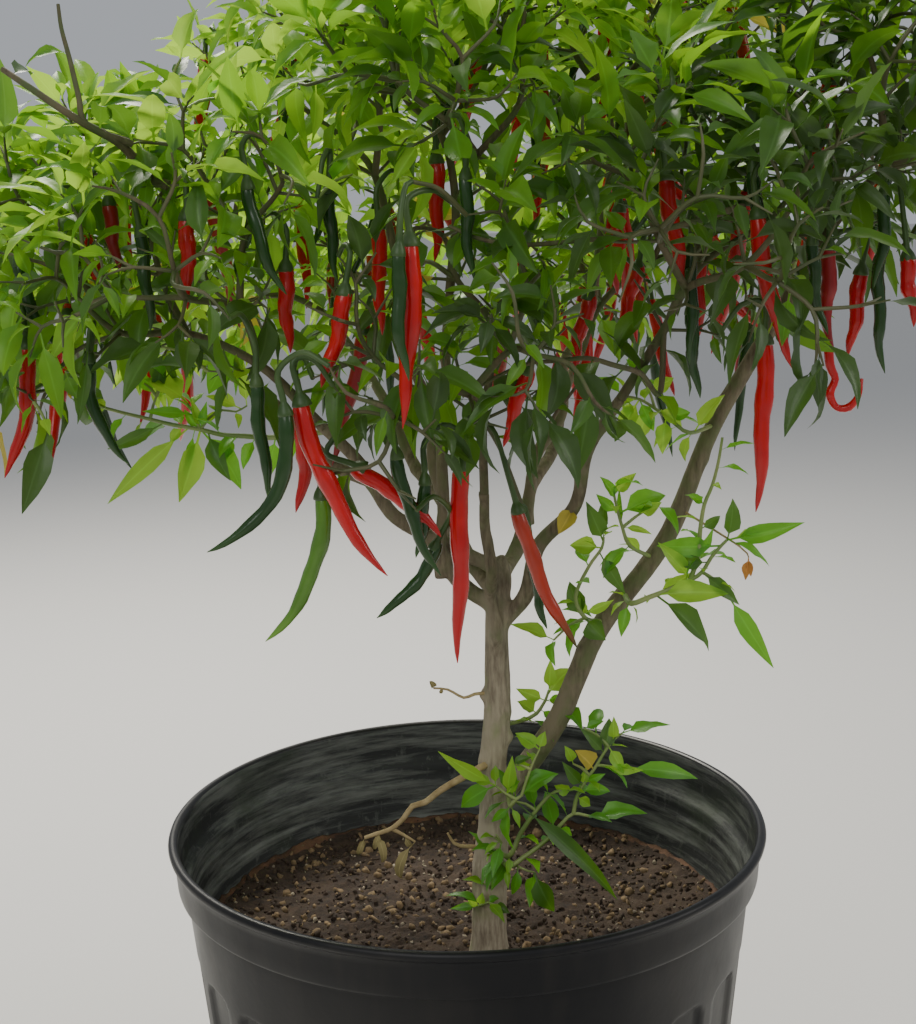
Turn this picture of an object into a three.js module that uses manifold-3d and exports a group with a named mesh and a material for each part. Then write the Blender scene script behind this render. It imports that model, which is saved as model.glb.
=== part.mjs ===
// Chilli pepper plant in a ribbed black nursery pot.
// Millimetres, +Z up, +X to the right, +Y to the back. The origin is the middle of the pot's flat underside.
import * as THREE from "three";
import { mergeVertices } from "three/addons/utils/BufferGeometryUtils.js";
import Module from "manifold-3d";

const wasm = await Module();
wasm.setup();

const DEGREE = Math.PI / 180;
const UP = new THREE.Vector3(0, 0, 1);
const RIGHT = new THREE.Vector3(1, 0, 0);
const GAP = 0.3; // clearance between neighbouring solids
const SHORT_EDGE = 0.3;

// Pot: a thin tapered shell with a rolled rim over a collar, and ribs between recessed panels down its side
const POT_HEIGHT = 290;
const RIM_RADIUS = 175;
const FOOT_RADIUS = 140;
const RIM_ROLL = 5; // height and width of the rolled rim
const COLLAR_HEIGHT = 28;
const COLLAR_STEP = 4; // how far the side steps in under the collar
const PANEL_TOP = 224;
const PANEL_FOOT = 14;
const PANEL_DEPTH = 2.2;
const PANELS = 24;
const COLUMNS_PER_PANEL = 3;
const WALL = 3;
const FLOOR = 4;

// Potting mix: level in the middle, with a crust that climbs the wall
const SOIL_LEVEL = 220;
const CRUST_RISE = 5;
const SOIL_COLUMNS = 36;

// Trunk: heights and radii from the foot, which flares a little, to the upper fork
const TRUNK_FOOT = { x: 11.6, y: -36 };
const TRUNK_LEAN = 10.5; // sideways drift to the right from foot to fork
const TRUNK_TOP = 456;
const TRUNK_GIRTH = [
  { height: 0, radius: 11.5 },
  { height: 12, radius: 9.9 },
  { height: 50, radius: 9.7 },
  { height: 84, radius: 8.8 },
  { height: 110, radius: 7.6 },
  { height: 150, radius: 7.3 },
  { height: 195, radius: 6.8 },
  { height: TRUNK_TOP - SOIL_LEVEL, radius: 6.2 },
];
const TRUNK_SIDES = 8;

// Crown: a wide low dome, measured from its own middle
const CROWN = { x: 10, y: 20, halfWidth: 345, halfDepth: 275 };

// Boughs: height at which each leaves the trunk, and the bearing (degrees from +X), share of the crown's
// half width and height of the mass of foliage that it carries
const BOUGHS = [
  { side: "right", leaves: 308, radius: 6.7, bearing: 338, share: 0.72, height: 646, reach: 128 },
  { side: "back_right", leaves: 440, radius: 4.8, bearing: 62, share: 0.6, height: 606, reach: 140 },
  { side: "back_left", leaves: 430, radius: 4.8, bearing: 122, share: 0.6, height: 598, reach: 140 },
  { side: "left", leaves: 446, radius: 4.6, bearing: 180, share: 0.62, height: 604, reach: 140 },
  { side: "front_left", leaves: 424, radius: 5, bearing: 226, share: 0.62, height: 592, reach: 132 },
  { side: "front", leaves: 398, radius: 4.4, bearing: 266, share: 0.54, height: 566, reach: 124 },
  { side: "front_right", leaves: 412, radius: 4.8, bearing: 306, share: 0.6, height: 616, reach: 132 },
];
const CRESTS = [
  { side: "right", from: "back_right", bearing: 12, share: 0.3, height: 694, reach: 112 },
  { side: "left", from: "back_left", bearing: 134, share: 0.3, height: 700, reach: 112 },
  { side: "front", from: "front_left", bearing: 255, share: 0.32, height: 690, reach: 108 },
];
const CREST_FORK = 0.35; // a crest's bough leaves its parent at this share of the parent's length
const STEM_RUN = 92; // distance from a bough's tip to the middle of its mass
const BOUGH_TAPER = 0.58; // radius at a bough's tip as a share of that at its root
const CREST_BOUGH_RADIUS = 3.8;
const BOUGH_SIDES = 5;
const BOUGH_STEPS = 5;
const ZIGZAG = 3.5; // a bough turns a little at every node

// Twigs: each forks in two at its end, and the plane of the fork turns from node to node
const INTERNODES = [46, 40, 34, 28];
const FORK_ANGLE = 40 * DEGREE;
const FORK_TURN = 95 * DEGREE;
const LIFT = 0.1; // pull of a new arm towards the light
const HOME_PULL = 0.4; // pull of a new arm back into its own space
const TWIG_RADII = [2.6, 2.2, 1.9, 1.6, 1.2]; // at each node from the stem's root outwards
const TWIG_SIDES = 3;
const ROOT_SINK = 2; // how deep a leaf, an arm or a stalk is sunk in its twig

// Leaves: pointed blades, widest below the middle
const LEAF_LENGTH = 54;
const LEAF_WIDTH = 21;
const LEAF_THICKNESS = 1.4;
const LEAF_WIDEST = 0.42; // share of the length from the root
const LEAF_DROOP = 0.25;
const LEAF_CROSSING = 0.8; // a blade that shares more than this volume with what is there already is left out
const LEAF_SPACING = 0.22; // share of a last twig between one leaf and the next
const FORK_LEAF_BACK = 0.2;
const GOLDEN_ANGLE = 137.5 * DEGREE;

// Fruit: a stalk, then a long thin pod that narrows to a point
const POD_LENGTH = 80;
const FRUIT_SIDES = 4;
const FRUIT_CROSSING = 60;
const STALK_RADIUS = 1.5;
const STALK_REACH = 60; // a pod further than this from every node of its mass is left out
const POD_GIRTH = [
  { along: 0, radius: 1.6 },
  { along: 0.08, radius: 4.6 },
  { along: 0.5, radius: 4.4 },
  { along: 0.83, radius: 2.6 },
  { along: 1, radius: 0.5 },
];

// Pods that show from the front: where each begins, its length, and its lean and curl to the right in degrees
const FRONT_PODS = [
  { at: [-124, -130, 646], length: 48, lean: -3, curl: 0 },
  { at: [-212, -100, 586], length: 74, lean: 4, curl: -34 },
  { at: [-178, -110, 579], length: 62, lean: -14, curl: 60 },
  { at: [-38, -74, 640], length: 60, lean: 0, curl: 0 },
  { at: [-19, -190, 633], length: 86, lean: 2, curl: -12 },
  { at: [-49, -160, 611], length: 50, lean: -10, curl: -12 },
  { at: [-70, -180, 564], length: 94, lean: 8, curl: 32 },
  { at: [-76, -190, 561], length: 84, lean: 12, curl: -84 },
  { at: [-63, -170, 520], length: 82, lean: 6, curl: -56 },
  { at: [-29, -160, 536], length: 66, lean: 6, curl: 24 },
  { at: [-10, -140, 488], length: 52, lean: -24, curl: -34 },
  { at: [1, -140, 527], length: 102, lean: -2, curl: 0 },
  { at: [28, -102, 498], length: 84, lean: 14, curl: 16 },
  { at: [100, -120, 660], length: 60, lean: 8, curl: 4 },
  { at: [114, -112, 625], length: 60, lean: 0, curl: 0 },
  { at: [143, -122, 641], length: 80, lean: 6, curl: 16 },
  { at: [150, -112, 581], length: 90, lean: 2, curl: -8 },
  { at: [186, -92, 624], length: 84, lean: -4, curl: 44 },
];

// A repeatable number from 0 to 1 for the k-th choice under a seed
function chance(seed, k) {
  const wave = Math.sin(seed * 12.9898 + k * 78.233) * 43758.5453;
  return wave - Math.floor(wave);
}

function mix(a, b, t) {
  return a.clone().lerp(b, t);
}

// The part of a direction that is square to another, at unit length
function squared(direction, axis) {
  return direction.clone().addScaledVector(axis, -direction.dot(axis)).normalize();
}

function anySide(ahead) {
  return squared(Math.abs(ahead.z) < 0.9 ? UP : RIGHT, ahead);
}

// A closed geometry as a solid that can be joined and cut
function solidOf(geometry) {
  geometry.deleteAttribute("normal");
  geometry.deleteAttribute("uv");
  const merged = mergeVertices(geometry, 1e-4);
  const vertProperties = merged.getAttribute("position").array;
  const triVerts = new Uint32Array(merged.index.array);
  return new wasm.Manifold(new wasm.Mesh({ numProp: 3, vertProperties, triVerts }));
}

// The one body that counts, without loose scraps, sealed hollows or edges too short to matter
function largestBody(solid) {
  const bodies = solid.simplify(SHORT_EDGE).decompose();
  return bodies.sort((a, b) => b.volume() - a.volume())[0];
}

// A round tube through the points, with a radius at each: a cylinder whose rings are moved onto the line
function tube(points, radii, sides) {
  const last = points.length - 1;
  const frames = [];
  points.forEach((point, i) => {
    const ahead = points[Math.min(i + 1, last)].clone().sub(points[Math.max(i - 1, 0)]).normalize();
    const side = i ? squared(frames[i - 1].side, ahead) : anySide(ahead);
    frames.push({ side, other: side.clone().cross(ahead) });
  });
  const geometry = new THREE.CylinderGeometry(1, 1, last, sides, last);
  const position = geometry.getAttribute("position");
  for (let i = 0; i < position.count; i++) {
    const ring = Math.round(position.getY(i) + last / 2);
    const { side, other } = frames[ring];
    const moved = points[ring].clone();
    moved.addScaledVector(side, position.getX(i) * radii[ring]);
    moved.addScaledVector(other, position.getZ(i) * radii[ring]);
    position.setXYZ(i, moved.x, moved.y, moved.z);
  }
  return solidOf(geometry);
}

// The pot's shell: a turned profile whose side is then pressed in at each panel
function potSolid() {
  const collarFoot = POT_HEIGHT - COLLAR_HEIGHT;
  const sideTop = RIM_RADIUS - RIM_ROLL - COLLAR_STEP;
  const sideRadius = (z) => FOOT_RADIUS + ((sideTop - FOOT_RADIUS) * z) / collarFoot;
  const profile = [
    [0, 0],
    [sideRadius(0), 0],
    [sideRadius(PANEL_FOOT), PANEL_FOOT],
    [sideRadius(PANEL_FOOT + 5), PANEL_FOOT + 5],
    [sideRadius(PANEL_TOP - 5), PANEL_TOP - 5],
    [sideRadius(PANEL_TOP), PANEL_TOP],
    [sideTop, collarFoot],
    [RIM_RADIUS - RIM_ROLL, collarFoot + 2],
    [RIM_RADIUS, POT_HEIGHT - RIM_ROLL],
    [RIM_RADIUS - 2, POT_HEIGHT],
    [RIM_RADIUS - RIM_ROLL - 1, POT_HEIGHT - 1],
    [cavityRadius(PANEL_TOP), PANEL_TOP],
    [cavityRadius(FLOOR), FLOOR],
    [0, FLOOR],
  ].map(([r, z]) => new THREE.Vector2(r, z));
  const columns = PANELS * COLUMNS_PER_PANEL;
  const shell = new THREE.LatheGeometry(profile, columns);
  const position = shell.getAttribute("position");
  for (let i = 0; i < position.count; i++) {
    const [x, z, y] = [position.getX(i), position.getY(i), position.getZ(i)];
    const radius = Math.hypot(x, y);
    const column = Math.round((Math.atan2(x, y) / (2 * Math.PI)) * columns + columns);
    const pressed = column % COLUMNS_PER_PANEL > 0;
    const onPanel = z > PANEL_FOOT + 1 && z < PANEL_TOP - 1 && radius > cavityRadius(z) + 1;
    const scale = pressed && onPanel ? (radius - PANEL_DEPTH) / radius : 1;
    position.setXYZ(i, x * scale, -y * scale, z);
  }
  return solidOf(shell);
}

function cavityRadius(z) {
  const sideTop = RIM_RADIUS - RIM_ROLL - COLLAR_STEP;
  const outside = FOOT_RADIUS + ((sideTop - FOOT_RADIUS) * z) / (POT_HEIGHT - COLLAR_HEIGHT);
  return outside - WALL - PANEL_DEPTH;
}

// The potting mix fills the pot up to its level, clear of the wall and the floor
function soilSolid() {
  const edge = SOIL_LEVEL + CRUST_RISE;
  const wall = (z) => cavityRadius(z) - GAP;
  const profile = [
    [0, FLOOR + GAP],
    [wall(FLOOR), FLOOR + GAP],
    [wall(PANEL_TOP) - 0.5, edge - 2],
    [wall(edge) - 7, edge],
    [wall(edge) - 22, SOIL_LEVEL - 3],
    [wall(edge) * 0.55, SOIL_LEVEL],
    [0, SOIL_LEVEL],
  ].map(([r, z]) => new THREE.Vector2(r, z));
  const soil = new THREE.LatheGeometry(profile, SOIL_COLUMNS);
  soil.rotateX(Math.PI / 2);
  return solidOf(soil);
}

// The room taken by the filled pot, with a margin: foliage stays out of it
function vesselRoom() {
  const margin = 1;
  const inside = cavityRadius(PANEL_TOP) - margin;
  const profile = [
    [0, 0],
    [RIM_RADIUS + margin, 0],
    [RIM_RADIUS + margin, POT_HEIGHT + margin],
    [inside, POT_HEIGHT + margin],
    [inside, SOIL_LEVEL + CRUST_RISE + margin],
    [inside - 24, SOIL_LEVEL + margin],
    [0, SOIL_LEVEL + margin],
  ].map(([r, z]) => new THREE.Vector2(r, z));
  const room = new THREE.LatheGeometry(profile, SOIL_COLUMNS);
  room.rotateX(Math.PI / 2);
  return solidOf(room);
}

// A place in the crown from its bearing, its share of the crown's width and its height
function crownPlace(bearing, share, height) {
  const x = CROWN.x + share * CROWN.halfWidth * Math.cos(bearing * DEGREE);
  const y = CROWN.y + share * CROWN.halfDepth * Math.sin(bearing * DEGREE);
  return new THREE.Vector3(x, y, height);
}

// A bough's line from its root to its tip: it sets off steeply or low, and turns a little at each node
function boughLine(root, tip, rise, steps, seed) {
  const bend = mix(root, tip, 0.5).addScaledVector(UP, rise);
  const across = squared(RIGHT.clone().applyAxisAngle(UP, seed), tip.clone().sub(root).normalize());
  const points = [];
  for (let i = 0; i <= steps; i++) {
    const t = i / steps;
    const point = mix(mix(root, bend, t), mix(bend, tip, t), t);
    const kink = i > 0 && i < steps ? ZIGZAG * (i % 2 ? 1 : -1) : 0;
    points.push(point.addScaledVector(across, kink));
  }
  return points;
}

// Limbs: the trunk and the boughs, each cut clear of the ones it grows from
const limbs = [];
let limbRoom = null; // all limbs so far, grown by the gap

function addLimb(name, points, radii, sides) {
  const whole = tube(points, radii, sides);
  const solid = limbRoom ? largestBody(whole.subtract(limbRoom)) : whole;
  const last = points.length - 1;
  const ahead = points[last].clone().sub(points[last - 1]).normalize();
  const grownLine = [...points.slice(0, last), points[last].clone().addScaledVector(ahead, GAP)];
  const grown = tube(grownLine, radii.map((r) => r + GAP / Math.cos(Math.PI / sides)), sides);
  limbRoom = limbRoom ? limbRoom.add(grown) : grown;
  const limb = { name, points, solid, ahead, tip: points[last] };
  limbs.push(limb);
  return limb;
}

function addTrunk() {
  const points = TRUNK_GIRTH.map(({ height }, i) => {
    const share = Math.max(height - TRUNK_GIRTH[1].height, 0) / (TRUNK_TOP - SOIL_LEVEL);
    const sway = i % 2 ? 1 : -0.6; // the stem wavers at its old nodes
    const x = TRUNK_FOOT.x + TRUNK_LEAN * share + (i > 1 ? sway : 0);
    return new THREE.Vector3(x, TRUNK_FOOT.y, SOIL_LEVEL + GAP + height);
  });
  return addLimb("trunk", points, TRUNK_GIRTH.map((g) => g.radius), TRUNK_SIDES);
}

function placeOnLine(points, t) {
  const at = t * (points.length - 1);
  const i = Math.min(Math.floor(at), points.length - 2);
  return mix(points[i], points[i + 1], at - i);
}

function trunkAt(height) {
  const line = trunk.points;
  const i = Math.max(line.findIndex((p) => p.z > height), 1);
  return mix(line[i - 1], line[i], (height - line[i - 1].z) / (line[i].z - line[i - 1].z));
}

function addBough(name, root, tip, rise, radius, seed) {
  const points = boughLine(root, tip, rise, BOUGH_STEPS, seed);
  const radii = points.map((_, i) => radius * (1 - ((1 - BOUGH_TAPER) * i) / BOUGH_STEPS));
  return addLimb(name, points, radii, BOUGH_SIDES);
}

// Masses of foliage: each grows from the tip of its bough, or from the trunk, within a space of its own
const masses = [];
const grownMasses = [];

function addMass(name, stem, ahead, centre, reach, seed, more = {}) {
  const usual = { girth: 1, orders: 4, scale: 1, leafScale: 1, tipLeaves: 3, forkLeaves: 1, fruit: 0.22 };
  const stand = { droop: LEAF_DROOP, lift: LIFT, onLimb: false, dry: false };
  masses.push({ name, stem, ahead, centre, reach, seed, ...usual, ...stand, ...more });
}

// The flat face between two masses lies nearer to the smaller one, so every space is convex
function staysIn(mass, point, clearance) {
  return masses.every((other) => {
    if (other === mass) return true;
    const away = other.centre.clone().sub(mass.centre);
    const apart = away.length();
    const wall = (apart ** 2 + mass.reach ** 2 - other.reach ** 2) / (2 * apart);
    return point.clone().sub(mass.centre).dot(away) / apart < wall - clearance;
  });
}

function isFree(mass, piece) {
  return piece.intersect(mass.room).isEmpty();
}

// The first twig of a mass runs on from its bough's tip
function stemOf(mass) {
  const length = INTERNODES[0] * mass.scale * (0.85 + 0.3 * chance(mass.seed, 1));
  const end = mass.stem.clone().addScaledVector(mass.ahead, length);
  const radius = TWIG_RADII[0] * mass.girth + GAP;
  return tube([mass.stem, end], [radius, radius], TWIG_SIDES);
}

// One twig with the arms it forks into, down to the mass's last order
function growTwig(mass, start, ahead, across, order, index) {
  const length = INTERNODES[order] * mass.scale * (0.85 + 0.3 * chance(mass.seed, index));
  const end = start.clone().addScaledVector(ahead, length);
  const twig = { start, end, ahead, order, index, arms: [] };
  if (order + 1 === mass.orders) return twig;
  const turn = FORK_TURN + (chance(mass.seed, index + 0.3) - 0.5);
  const plane = across.clone().applyAxisAngle(ahead, turn);
  const home = mass.centre.clone().sub(end).divideScalar(mass.reach);
  for (const arm of [0, 1]) {
    const next = 2 * index + arm;
    const angle = (arm ? -1 : 1) * FORK_ANGLE * (0.8 + 0.4 * chance(mass.seed, next + 0.6));
    const towards = ahead.clone().multiplyScalar(Math.cos(angle)).addScaledVector(plane, Math.sin(angle));
    towards.addScaledVector(home, HOME_PULL * home.length()).addScaledVector(UP, mass.lift).normalize();
    const grown = growTwig(mass, end, towards, squared(plane, towards), order + 1, next);
    const near = staysIn(mass, grown.end, 4) && grown.end.distanceTo(mass.centre) < mass.reach;
    const stout = twigRadius(mass, 1);
    const wood = tube([end, grown.end], [stout, stout], TWIG_SIDES);
    if (near && isFree(mass, wood)) twig.arms.push(grown);
  }
  return twig;
}

// A leaf: an eight-faced blade from a root sunk in the twig, bent down towards its tip
function leaf(root, ahead, face, length) {
  const across = ahead.clone().cross(face);
  const blade = new THREE.OctahedronGeometry(1);
  const position = blade.getAttribute("position");
  for (let i = 0; i < position.count; i++) {
    const [x, y, z] = [position.getX(i), position.getY(i), position.getZ(i)];
    const along = y < -0.5 ? -ROOT_SINK : y > 0.5 ? length : length * LEAF_WIDEST;
    const moved = root.clone().addScaledVector(ahead, along);
    moved.addScaledVector(across, (x * LEAF_WIDTH * length) / LEAF_LENGTH / 2);
    moved.addScaledVector(face, (z * LEAF_THICKNESS) / 2);
    moved.addScaledVector(UP, y > 0.5 ? -0.12 * length : 0);
    position.setXYZ(i, moved.x, moved.y, moved.z);
  }
  return solidOf(blade);
}

// Leaves stand round the end of a twig, turned by the golden angle from one to the next
function leavesAt(mass, twig) {
  const last = twig.arms.length === 0;
  const count = last ? mass.tipLeaves : mass.forkLeaves;
  const made = [];
  for (let k = 0; k < count; k++) {
    const pick = twig.index * 8 + k;
    const spread = (last ? 38 + 24 * chance(mass.seed, pick + 0.1) : 70) * DEGREE;
    const around = anySide(twig.ahead).applyAxisAngle(
      twig.ahead, GOLDEN_ANGLE * pick + chance(mass.seed, pick + 0.2),
    );
    const ahead = twig.ahead.clone().multiplyScalar(Math.cos(spread)).addScaledVector(around, Math.sin(spread));
    ahead.addScaledVector(UP, -mass.droop).normalize();
    const face = squared(Math.abs(ahead.z) < 0.95 ? UP : around, ahead);
    face.applyAxisAngle(ahead, (chance(mass.seed, pick + 0.4) - 0.5) * 1.2);
    const length = LEAF_LENGTH * mass.leafScale * (0.8 + 0.4 * chance(mass.seed, pick + 0.5));
    const back = last ? LEAF_SPACING * (k + 0.3) : FORK_LEAF_BACK;
    made.push(leaf(mix(twig.end, twig.start, back), ahead, face, length));
  }
  return made;
}

// A fruit: its stalk runs from a node to where the pod begins, and the pod leans and curls towards one heading
function fruitSolid(node, at, length, out, lean, curl) {
  const points = [node, at];
  for (let i = 1; i < POD_GIRTH.length; i++) {
    const step = POD_GIRTH[i].along - POD_GIRTH[i - 1].along;
    const middle = POD_GIRTH[i].along - step / 2;
    const angle = (lean + curl * middle) * DEGREE;
    const next = points[i].clone().addScaledVector(out, Math.sin(angle) * step * length);
    points.push(next.addScaledVector(UP, -Math.cos(angle) * step * length));
  }
  return tube(points, [STALK_RADIUS, ...POD_GIRTH.map((g) => g.radius)], FRUIT_SIDES);
}

function fruitAt(mass, twig) {
  const heading = 2 * Math.PI * chance(mass.seed, twig.index + 0.71);
  const out = new THREE.Vector3(Math.cos(heading), Math.sin(heading), 0);
  const length = POD_LENGTH * (0.75 + 0.5 * chance(mass.seed, twig.index + 0.77));
  const curl = 70 * (chance(mass.seed, twig.index + 0.73) - 0.35);
  const at = twig.end.clone().addScaledVector(out, 14).addScaledVector(UP, -9);
  return fruitSolid(twig.end, at, length, out, 12, curl);
}

// A pod of the front list belongs to the mass in whose space it hangs, on that mass's nearest node
function frontFruit(mass, nodes) {
  return FRONT_PODS.flatMap(({ at, length, lean, curl }) => {
    const start = new THREE.Vector3(...at);
    const middle = start.clone().addScaledVector(UP, -length / 2);
    if (!staysIn(mass, middle, 0)) return [];
    const node = nodes.map((twig) => twig.end).sort((a, b) => a.distanceTo(start) - b.distanceTo(start))[0];
    if (node.distanceTo(start) > STALK_REACH) return [];
    return [fruitSolid(node, start, length, RIGHT, lean, curl)];
  });
}

// A mass on a stout bough sets off stouter, and all end in the same fine tips
function twigRadius(mass, node) {
  return TWIG_RADII[node] * (1 + (mass.girth - 1) * (1 - node / (TWIG_RADII.length - 1)));
}

// Every twig of a mass that ends in its space, as lines that run on through one arm at each fork
function twigLines(mass, twig, root) {
  const points = [root, twig.end];
  const radii = [twigRadius(mass, twig.order), twigRadius(mass, twig.order + 1)];
  const lines = [];
  for (let on = twig; on.arms.length; on = on.arms[0]) {
    points.push(on.arms[0].end);
    radii.push(twigRadius(mass, on.order + 2));
    for (const arm of on.arms.slice(1)) {
      lines.push(...twigLines(mass, arm, on.end.clone().addScaledVector(arm.ahead, -ROOT_SINK / 2)));
    }
  }
  return [{ points, radii }, ...lines];
}

function everyTwig(twig) {
  return [twig, ...twig.arms.flatMap(everyTwig)];
}

function fitsIn(mass, piece, reach) {
  const { vertProperties } = piece.getMesh();
  for (let i = 0; i < vertProperties.length; i += 3) {
    const corner = new THREE.Vector3().fromArray(vertProperties, i);
    if (corner.distanceTo(mass.centre) > reach || !staysIn(mass, corner, GAP)) return false;
  }
  return isFree(mass, piece);
}

function massSolid(mass) {
  const stems = masses.filter((other) => other !== mass).map(stemOf);
  mass.room = wasm.Manifold.union([limbRoom, vessel, ...stems, ...grownMasses]);
  const stem = growTwig(mass, mass.stem, mass.ahead, anySide(mass.ahead), 0, 1);
  const root = mass.onLimb ? mass.stem : mass.stem.clone().addScaledVector(mass.ahead, GAP);
  const wood = twigLines(mass, stem, root).map(({ points, radii }) => tube(points, radii, TWIG_SIDES));
  const foliage = everyTwig(stem).flatMap((twig) => leavesAt(mass, twig));
  const bearing = everyTwig(stem).filter((twig) => chance(mass.seed, twig.index + 0.9) < mass.fruit);
  const fruit = [...frontFruit(mass, everyTwig(stem)), ...bearing.map((twig) => fruitAt(mass, twig))];
  let whole = wood.reduce((sum, piece) => sum.add(piece));
  const addWhereFree = (piece, reach, crossing) => {
    if (fitsIn(mass, piece, reach) && whole.intersect(piece).volume() < crossing) whole = whole.add(piece);
  };
  fruit.forEach((piece) => addWhereFree(piece, 2.2 * mass.reach, FRUIT_CROSSING));
  foliage.forEach((piece) => addWhereFree(piece, mass.reach + 12, LEAF_CROSSING));
  const solid = largestBody(mass.onLimb ? whole.subtract(limbRoom) : whole);
  grownMasses.push(solid);
  return solid;
}

function meshOf(name, solid, look) {
  const { vertProperties, triVerts } = solid.getMesh();
  const geometry = new THREE.BufferGeometry();
  geometry.setAttribute("position", new THREE.BufferAttribute(vertProperties, 3));
  geometry.setIndex(new THREE.BufferAttribute(triVerts, 1));
  geometry.computeVertexNormals();
  const mesh = new THREE.Mesh(geometry, new THREE.MeshStandardMaterial(look));
  mesh.name = name;
  return mesh;
}

const BLACK_PLASTIC = { color: 0x1d1f20, roughness: 0.45, metalness: 0 };
const POTTING_MIX = { color: 0x3a2a1e, roughness: 0.95, metalness: 0 };
const BARK = { color: 0x8c8168, roughness: 0.85, metalness: 0 };
const LEAF_GREEN = { color: 0x3f7a26, roughness: 0.5, metalness: 0 };
const DRY_BROWN = { color: 0xa98f55, roughness: 0.9, metalness: 0 };

const vessel = vesselRoom();
const trunk = addTrunk();

// A bough stops short of the middle of its mass, on the way there from the top of the trunk
function tipFor(centre) {
  return centre.clone().addScaledVector(centre.clone().sub(trunk.tip).normalize(), -STEM_RUN);
}

BOUGHS.forEach(({ side, leaves, radius, bearing, share, height, reach }, g) => {
  const centre = crownPlace(bearing, share, height);
  const rise = side === "right" ? -18 : -8;
  const bough = addBough(`bough_${side}`, trunkAt(leaves), tipFor(centre), rise, radius, g);
  const fruit = side.startsWith("front") ? 0 : 0.05;
  const girth = (radius * BOUGH_TAPER) / TWIG_RADII[0];
  addMass(`foliage_${side}`, bough.tip, bough.ahead, centre, reach, g + 11, { fruit, girth });
});

CRESTS.forEach(({ side, from, bearing, share, height, reach }, g) => {
  const parent = limbs.find((limb) => limb.name === `bough_${from}`);
  const centre = crownPlace(bearing, share, height);
  const root = placeOnLine(parent.points, CREST_FORK);
  const bough = addBough(`bough_crest_${side}`, root, tipFor(centre), -6, CREST_BOUGH_RADIUS, g + 3);
  addMass(`foliage_crest_${side}`, bough.tip, bough.ahead, centre, reach, g + 31, { fruit: 0.03 });
});

// Young shoots and one dead twig low on the trunk and on the right bough
const youngShoot = { onLimb: true, fruit: 0, lift: 0.25 };
const rightBough = limbs.find((limb) => limb.name === "bough_right");
const leftBough = limbs.find((limb) => limb.name === "bough_left");
addMass(
  "shoots_right_bough", placeOnLine(rightBough.points, 0.4), new THREE.Vector3(0.8, -0.45, 0.4).normalize(),
  new THREE.Vector3(128, -84, 480), 82, 51,
  { ...youngShoot, orders: 3, scale: 0.66, leafScale: 0.8 },
);
addMass(
  "shoots_inner_bough", placeOnLine(rightBough.points, 0.36), new THREE.Vector3(-0.1, -0.5, 0.85).normalize(),
  new THREE.Vector3(70, -70, 474), 66, 58,
  { ...youngShoot, orders: 3, scale: 0.56, leafScale: 0.75 },
);
addMass(
  "shoots_left_bough", placeOnLine(leftBough.points, 0.72), new THREE.Vector3(-0.85, -0.5, -0.12).normalize(),
  new THREE.Vector3(-152, -44, 526), 110, 62,
  { ...youngShoot, orders: 3, scale: 0.7, leafScale: 0.9, lift: 0.1, droop: 0.02 },
);
addMass(
  "shoots_fork", trunkAt(322), new THREE.Vector3(0.2, -0.9, 0.35).normalize(),
  new THREE.Vector3(22, -80, 340), 56, 52, { ...youngShoot, orders: 3, scale: 0.4, leafScale: 0.75 },
);
addMass(
  "shoots_stem", trunkAt(350), new THREE.Vector3(0.65, 0.3, 0.7).normalize(),
  new THREE.Vector3(46, -12, 386), 46, 57, { ...youngShoot, orders: 3, scale: 0.4, leafScale: 0.75 },
);
addMass(
  "shoots_foot", trunkAt(268), new THREE.Vector3(0.72, -0.36, 0.6).normalize(),
  new THREE.Vector3(84, -66, 346), 76, 53, { ...youngShoot, orders: 3, scale: 0.72, lift: 0.4 },
);
addMass(
  "dry_twig", trunkAt(338), new THREE.Vector3(-0.84, -0.3, -0.44).normalize(),
  new THREE.Vector3(-44, -62, 298), 62, 55,
  { onLimb: true, fruit: 0, lift: -0.2, orders: 3, scale: 0.64, leafScale: 0.5, tipLeaves: 1, forkLeaves: 0,
    droop: 2.4, girth: 0.8, dry: true },
);

export const group = new THREE.Group();
group.add(meshOf("pot", potSolid(), BLACK_PLASTIC));
group.add(meshOf("soil", soilSolid(), POTTING_MIX));
for (const limb of limbs) group.add(meshOf(limb.name, limb.solid, BARK));
for (const mass of masses) group.add(meshOf(mass.name, massSolid(mass), mass.dry ? DRY_BROWN : LEAF_GREEN));

export default group;
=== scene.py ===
import math

import bpy
import numpy as np
from mathutils import Matrix, Vector, noise


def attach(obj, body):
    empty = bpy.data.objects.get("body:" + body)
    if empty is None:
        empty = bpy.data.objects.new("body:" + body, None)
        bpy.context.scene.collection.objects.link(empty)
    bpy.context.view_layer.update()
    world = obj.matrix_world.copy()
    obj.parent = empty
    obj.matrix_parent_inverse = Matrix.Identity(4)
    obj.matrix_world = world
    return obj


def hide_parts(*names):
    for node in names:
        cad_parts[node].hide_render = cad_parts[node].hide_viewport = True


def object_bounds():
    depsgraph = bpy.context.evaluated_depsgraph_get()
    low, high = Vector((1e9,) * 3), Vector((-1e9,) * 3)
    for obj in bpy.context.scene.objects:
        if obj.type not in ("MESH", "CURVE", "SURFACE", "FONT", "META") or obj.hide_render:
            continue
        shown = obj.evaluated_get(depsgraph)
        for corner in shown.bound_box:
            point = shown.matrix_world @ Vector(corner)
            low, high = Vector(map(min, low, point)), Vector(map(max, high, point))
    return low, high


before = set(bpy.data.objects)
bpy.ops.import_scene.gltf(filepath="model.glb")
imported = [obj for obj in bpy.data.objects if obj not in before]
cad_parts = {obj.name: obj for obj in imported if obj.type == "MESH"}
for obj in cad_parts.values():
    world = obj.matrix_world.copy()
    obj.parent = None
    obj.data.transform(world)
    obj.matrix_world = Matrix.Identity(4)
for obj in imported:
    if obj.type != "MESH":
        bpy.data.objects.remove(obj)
solids_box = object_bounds()


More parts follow.
